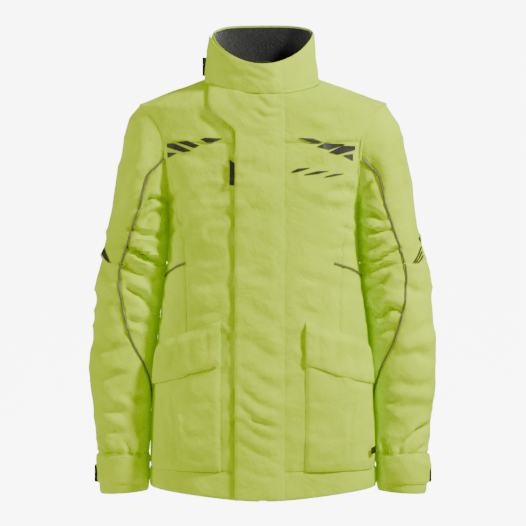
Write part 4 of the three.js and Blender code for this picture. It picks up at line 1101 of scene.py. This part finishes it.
# the neck seam's allowance, a low welt round the foot of the collar
edge = math.asin(panelLook["zipHalf"] / jacket["neckHalf"])
angle = np.linspace(edge, 360 * deg - edge, 240)
p, n = collarSurface(angle, np.full_like(angle, 0.006))
pipingTube("neck_seam", p - n * 1.8 - np.array([0, 0, 0.8]), n, 3.3, shell, "body", [])
for name, side in (("right", -1), ("left", 1)):
    v = np.linspace(jacket["shoulder"] - 1.5, jacket["neck"] - 1, 80)
    p, n = bodySurface(np.full_like(v, side * 90 * deg), v)
    pipingTube(f"{name}_shoulder_seam", p - n * 1.4, n, 2.5, shell, "body", [])


def onFront(x, z):
    # the body surface's point at a place seen from the front
    v = np.array(z, float)
    for _ in range(3):
        v = z + frontDip(v) * ((1 + np.cos(angleAt(x, v))) / 2) ** 2
    return bodySurface(angleAt(x, v), v)


def printedShape(name, upperLine, lowerLine, material, body="body", surface=onFront,
                 lift=0.7, thick=0.35, steps=28):
    # a film cut to a leaf: rows run between its lower and upper outlines, given as x, z points
    def along(points, s):
        p = np.array(points, float)
        k = np.concatenate([[0], np.cumsum(np.hypot(*np.diff(p, axis=0).T))])
        return np.interp(s, k / k[-1], p[:, 0]), np.interp(s, k / k[-1], p[:, 1])
    s, t = grid(np.linspace(0, 1, steps), np.linspace(0, 1, 7))
    (ux, uz), (lx, lz) = along(upperLine, s), along(lowerLine, s)
    p, n = surface(lerp(lx, ux, t), lerp(lz, uz, t))
    obj = closedSheet(name, p + n * (lift + thick), p + n * lift, material)
    finishPiece(obj, body)


prints = {
    "right_chest_wave_1": ([(-163, 607), (-152, 608), (-121.9, 595.5)], [(-163, 600.5), (-137, 592.5), (-122.4, 595)]),
    "right_chest_wave_2": ([(-148, 610.2), (-128.3, 611.8), (-107.3, 604.7)],
                           [(-147, 609.4), (-117.2, 600.2), (-107.8, 604)]),
    "right_chest_wave_3": ([(-106.1, 615), (-97.4, 617.6), (-69.7, 616.8)],
                           [(-105.6, 614.2), (-95.5, 609), (-85.5, 610), (-70, 616)]),
    "right_chest_wave_4": ([(-162, 591.7), (-155, 591.6), (-146.9, 590.9)],
                           [(-161.4, 582.5), (-154, 587), (-147.4, 590.2)]),
    "left_chest_wave_1": ([(60.9, 617.6), (84.6, 616.6), (102.4, 609.8)],
                          [(61.4, 616.8), (84.6, 608.8), (101.6, 609.2)]),
    "left_chest_wave_2": ([(91.7, 603), (104.4, 608.6), (140.8, 606.8)], [(92.4, 602.2), (112.3, 597), (140, 606)]),
    "left_chest_wave_3": ([(112.3, 593.4), (136.1, 604), (158, 602.6)], [(113, 592.4), (128.1, 588.4), (157.6, 596)]),
    "left_chest_wave_4": ([(136.8, 587.2), (146, 588.6), (153.8, 589.6)], [(137.4, 586.2), (146, 581.4), (153, 577.4)]),
    "chest_mark_1": ([(48, 560), (60, 566), (80, 567)], [(48.6, 558.6), (62, 560.5), (79.6, 566)]),
    "chest_mark_2": ([(70, 555.5), (92, 561), (112, 561.5)], [(70.6, 554), (92, 556), (111.6, 560.4)]),
    "chest_mark_3": ([(104, 551.5), (120, 556), (136, 556.5)], [(104.6, 550), (120, 552), (135.6, 555.4)]),
}
for name, (upperLine, lowerLine) in prints.items():
    printedShape(name, upperLine, lowerLine, film)


def onSleeve(side):
    # the sleeve surface's front point at a place seen from the front: nearest grid point, then Newton steps
    surface = sleeveSurface(side)
    turns, rings = grid(np.linspace(16, 110, 70) * deg, np.linspace(2, 11, 160))
    flatGrid = surface(turns, rings)[0][..., [0, 2]].reshape(1, -1, 2)

    def place(x, z):
        flat = np.stack([np.ravel(x), np.ravel(z)], -1)
        best = ((flatGrid - flat[:, None]) ** 2).sum(-1).argmin(1)
        turn, ring = turns.ravel()[best], rings.ravel()[best]
        for _ in range(6):
            here = surface(turn, ring)[0][:, [0, 2]]
            slope = np.stack([(surface(turn + 0.02, ring)[0][:, [0, 2]] - here) / 0.02,
                              (surface(turn, ring + 0.03)[0][:, [0, 2]] - here) / 0.03], -1)
            step = np.einsum("nij,nj->ni", np.linalg.pinv(slope, rcond=1e-3), flat - here)
            turn = np.clip(turn + np.clip(step[:, 0], -0.06, 0.06), 16 * deg, 110 * deg)
            ring = np.clip(ring + np.clip(step[:, 1], -0.1, 0.1), 2, 11)
        point, normal = surface(turn, ring)
        return point.reshape(np.shape(x) + (3,)), normal.reshape(np.shape(x) + (3,))
    return place


rightSleeve, leftSleeve = onSleeve(-1), onSleeve(1)
rightUpper, leftUpper = sleeveBodies["right"][0], sleeveBodies["left"][0]
printedShape("right_elbow_blade", [(-277, 438), (-271, 424), (-262, 403)],
             [(-276, 414), (-271, 407), (-263, 401)], film,
             body=rightUpper, surface=rightSleeve)
printedShape("left_elbow_drop", [(266, 442), (271, 451), (277, 441)], [(267, 440), (271, 432), (276, 439)], film,
             body=leftUpper, surface=leftSleeve)
for k, (top, foot) in enumerate([((270, 428), (257, 402)), ((271, 420), (260, 401)), ((273, 413), (264, 401))]):
    line = [top, ((top[0] + foot[0]) / 2 + 1, (top[1] + foot[1]) / 2), foot]
    printedShape(f"left_elbow_stripe_{k + 1}", line, [(x + 2.2, z - 0.8) for x, z in line], film, body=leftUpper,
                 surface=leftSleeve)


def flapTab(s, t):
    v = 538.3 + 43.4 * t * (1 - 0.16 * (1 - s))
    return bodySurface(angleAt(-48.3 - 8 * s, v), v)


fine = grid(np.linspace(0, 1, 7), np.linspace(0, 1, 25))
surfacePiece("flap_label", flapTab, *fine, blackTape, "storm_flap", "black_tape", ["flap_label"], lift=5.3, thick=1.0,
             sides="", cloth=False)


def collarTab(s, t):
    # sewn into the flap's free edge and standing out sideways from the neck
    p = np.stack([-95.5 - 8.5 * s, -9 + 2 * s + 0 * t, 720 + 32 * t + 0 * s], -1)
    return p, np.broadcast_to(np.array([0.0, -1.0, 0.0]), p.shape)


surfacePiece("collar_label", collarTab, *fine, blackTape, "storm_flap", "black_tape", ["collar_label"], lift=0.0,
             thick=1.0, sides="", cloth=False)


def flagTab(s, t):
    v = 76 + 11 * t + 3 * s
    angle = pocketAngle(lerp(0.8, 0.87, s), v)
    return bodySurface(angle, v)


surfacePiece("hem_flag_label", flagTab, *fine, blackTape, "body", "black_tape", ["hem_flag_label"], lift=13.2,
             thick=1.0, sides="", cloth=False)

loopLook = {"span": 56, "tape": 8, "thick": 1.5, "bow": 10, "wallY": 68.82, "curve": 194}


def loopSurface(s, t):
    x = loopLook["span"] * (s - 0.5)
    bow = loopLook["bow"] * np.cos(np.clip(s - 0.5, -0.499, 0.499) * np.pi) ** 0.7
    height = jacket["loopZ"] + (t - 0.5) * loopLook["tape"]
    p = np.stack([x, loopLook["wallY"] - x * x / loopLook["curve"] - bow, height], -1)
    return p, np.broadcast_to(np.array([0.0, -1.0, 0.0]), p.shape)


surfacePiece("hanger_loop", loopSurface, *grid(np.linspace(0, 1, 41), np.linspace(0, 1, 9)), blackTape, "body",
             "black_tape", ["hanger_loop"], lift=0.0, thick=1.5, sides="", cloth=False)
print("straps, piping, tabs and prints ready")


# zip, stitching and small hardware

zipLook = {"tapeHalf": 12.6, "face": 1.4, "thick": 0.8, "pitch": 3.0, "tooth": (2.6, 1.7, 1.6), "foot": 28, "top": 748}


def zipPoint(x, out, up):
    # the zip's own line leans back as it rises
    return np.stack([x, -(jacket["zipFoot"] - jacket["zipLean"] * up) - out + 0 * x, up + 0 * x], -1)


for name, side in [("right", -1), ("left", 1)]:
    s, t = grid(np.linspace(0, 1, 12), np.linspace(0, 1, 260))
    x = side * lerp(0.35, zipLook["tapeHalf"], s)
    up = lerp(zipLook["foot"] - 6, zipLook["top"], t)
    wave = 0.25 * noise(np.stack([x, 0 * x, up], -1), 21, 81)
    outer = zipPoint(x, -zipLook["face"] + wave, up)
    obj = closedSheet(f"{name}_zip_tape", outer, outer + np.array([0, zipLook["thick"], 0]), tapeCloth)
    declareCloth(outer)
    finishPiece(obj, "body", [f"{name}_zip_tape"])

    # moulded teeth: one eight-cornered tooth repeated up the tape, its head wider than its root
    up = np.arange(zipLook["foot"] + 4, zipLook["top"] - 3, zipLook["pitch"])
    up = up + (zipLook["pitch"] / 2 if side > 0 else 0)
    w, d, h = zipLook["tooth"]
    corners = np.array([(a, b, c) for a in (0.3, w) for b in (-d / 2, d / 2) for c in (-h / 2, h / 2)])
    corners[corners[:, 0] > 1, 2] *= 0.72
    at = zipPoint(0 * up, -0.35, up)
    teeth = (at[:, None] + corners[None] * np.array([side, 1, 1])).reshape(-1, 3)
    cube = np.array([[0, 1, 3, 2], [4, 6, 7, 5], [0, 4, 5, 1], [2, 3, 7, 6], [0, 2, 6, 4], [1, 5, 7, 3]])
    if side < 0:
        cube = cube[:, ::-1]
    faces = (np.arange(len(up))[:, None, None] * 8 + cube[None]).reshape(-1, 4)
    obj = buildMesh(f"{name}_zip_teeth", teeth, faces, None, plasticTeeth)
    finishPiece(obj, "body", [f"{name}_zip_coil"])

for node, material in [("zip_slider", castMetal), ("zip_pull", castMetal), ("zip_retainer_box", plasticTeeth)]:
    found = bpy.data.objects.get(node)
    if found is not None:
        found.data.materials.clear()
        found.data.materials.append(material)

stitchLook = {"length": 2.4, "gap": 1.1, "radius": 0.28}


def stitchMesh(rows):
    # each stitch is a short six-sided thread lying in its groove, tapered at both ends
    allVertices, allFaces, count = [], [], 0
    sides = np.arange(6) * math.pi / 3
    for row, lift in rows:
        length = np.concatenate([[0], np.cumsum(np.linalg.norm(np.diff(row, axis=0), axis=-1))])
        step = stitchLook["length"] + stitchLook["gap"]
        starts = np.arange(2.0, length[-1] - 4.0, step)
        if len(starts) < 2:
            continue
        at = [np.stack([np.interp(starts + k, length, row[:, c]) for c in range(3)], -1)
              for k in (0, 0.5, stitchLook["length"] - 0.5, stitchLook["length"])]
        along = at[3] - at[0]
        along /= np.linalg.norm(along, axis=-1, keepdims=True)
        out = at[1] * np.array([1, 1, 0])
        out /= np.linalg.norm(out, axis=-1, keepdims=True)
        wide = np.cross(along, out)
        wide /= np.maximum(np.linalg.norm(wide, axis=-1, keepdims=True), 1e-9)
        out = np.cross(wide, along)
        rings = []
        for centre, share in zip(at, (0.35, 1, 1, 0.35)):
            r = stitchLook["radius"] * share
            rings.append(centre[:, None] + r * (np.cos(sides)[None, :, None] * wide[:, None]
                                                + np.sin(sides)[None, :, None] * out[:, None]))
        block = np.stack(rings, 1)
        n = len(starts)
        ids = count + np.arange(n * 24).reshape(n, 4, 6)
        nxt = np.roll(ids, -1, 2)
        walls = np.stack([ids[:, :-1], nxt[:, :-1], nxt[:, 1:], ids[:, 1:]], -1).reshape(-1, 4)
        first, last = ids[:, 0], ids[:, 3]
        caps = [first[:, [0, 1, 2, 3]], first[:, [0, 3, 4, 5]], last[:, [3, 2, 1, 0]], last[:, [5, 4, 3, 0]]]
        faces = np.concatenate([walls] + caps)
        allVertices.append(block.reshape(-1, 3))
        allFaces.append(faces)
        count += n * 24
    vertices, faces = np.concatenate(allVertices), np.concatenate(allFaces)
    p = vertices[faces[:18]]
    middle = vertices[:24].mean(0)
    away = np.einsum("ij,ij->i", p.mean(1) - middle, np.cross(p[:, 1] - p[:, 0], p[:, 2] - p[:, 0]))
    return vertices, faces if away.sum() > 0 else faces[:, ::-1]


for k, (body, rows) in enumerate(stitched.items()):
    vertices, faces = stitchMesh(rows)
    label = body if isinstance(body, str) else body[1]
    obj = buildMesh(f"{label}_topstitching_{k}", vertices, np.ascontiguousarray(faces), None, threadCloth)
    finishPiece(obj, body)
print("zip and stitching ready")


# floor, light and camera

studio = {"floorZ": -1.62, "wallY": 4.0, "wallGlow": 7.0, "distance": 12.0, "lens": 483, "elevation": 3.5,
          "target": (0.0, -0.167, -0.331), "sky": 0.14}

floorMaterial, tree, bsdf = newMaterial("pale studio floor")
bsdf.inputs["Base Color"].default_value = toLinear("#f4f4f3")
bsdf.inputs["Roughness"].default_value = 0.9
floorSize = np.array([[-9000, -9000, 0], [9000, -9000, 0], [9000, 9000, 0], [-9000, 9000, 0]], float)
floorSize += np.array([0, jacket["loopY"], jacket["loopZ"] + studio["floorZ"] * 1000])
floor = buildMesh("studio_floor", floorSize, np.array([[0, 1, 2, 3]]), None, floorMaterial)

# a glowing white paper wall behind, as in a catalogue studio
paper, tree, bsdf = newMaterial("lit white paper")
bsdf.inputs["Base Color"].default_value = toLinear("#ffffff")
bsdf.inputs["Emission Color"].default_value = toLinear("#ffffff")
bsdf.inputs["Emission Strength"].default_value = studio["wallGlow"]
wallSize = np.array([[-1300, 0, -1700], [1300, 0, -1700], [1300, 0, 900], [-1300, 0, 900]], float)
wallSize += np.array([0, jacket["loopY"] + studio["wallY"] * 1000, jacket["loopZ"]])
buildMesh("studio_wall", wallSize, np.array([[0, 1, 2, 3]]), None, paper)

world = bpy.data.worlds.new("studio")
world.use_nodes = True
bpy.context.scene.world = world
background = world.node_tree.nodes["Background"]
background.inputs["Color"].default_value = (1, 1, 1, 1)
background.inputs["Strength"].default_value = studio["sky"]


def areaLight(name, place, target, size, power, colour="#ffffff"):
    data = bpy.data.lights.new(name, "AREA")
    data.shape, data.size, data.energy, data.color = "DISK", size, power, toLinear(colour)[:3]
    lamp = bpy.data.objects.new(name, data)
    bpy.context.scene.collection.objects.link(lamp)
    lamp.location = place
    way = np.array(target, float) - np.array(place, float)
    lamp.rotation_euler = (math.atan2(math.hypot(way[0], way[1]), -way[2]), 0, math.atan2(way[1], way[0]) - math.pi / 2)


areaLight("key", (1.9, -1.3, 1.5), (0, 0, -0.3), 0.45, 140)
areaLight("side", (-2.3, -0.9, 0.5), (0, 0, -0.35), 0.6, 36)
areaLight("rim", (0.4, 2.0, 1.6), (0, 0, -0.2), 1.2, 12)

camera = bpy.data.objects.new("camera", bpy.data.cameras.new("camera"))
bpy.context.scene.collection.objects.link(camera)
camera.data.lens = studio["lens"]
tilt = studio["elevation"] * deg
target = np.array(studio["target"])
camera.location = target + studio["distance"] * np.array([0, -math.cos(tilt), math.sin(tilt)])
camera.rotation_euler = (math.pi / 2 - tilt, 0, 0)
bpy.context.scene.camera = camera
bpy.context.scene.render.resolution_x = 526
bpy.context.scene.render.resolution_y = 526
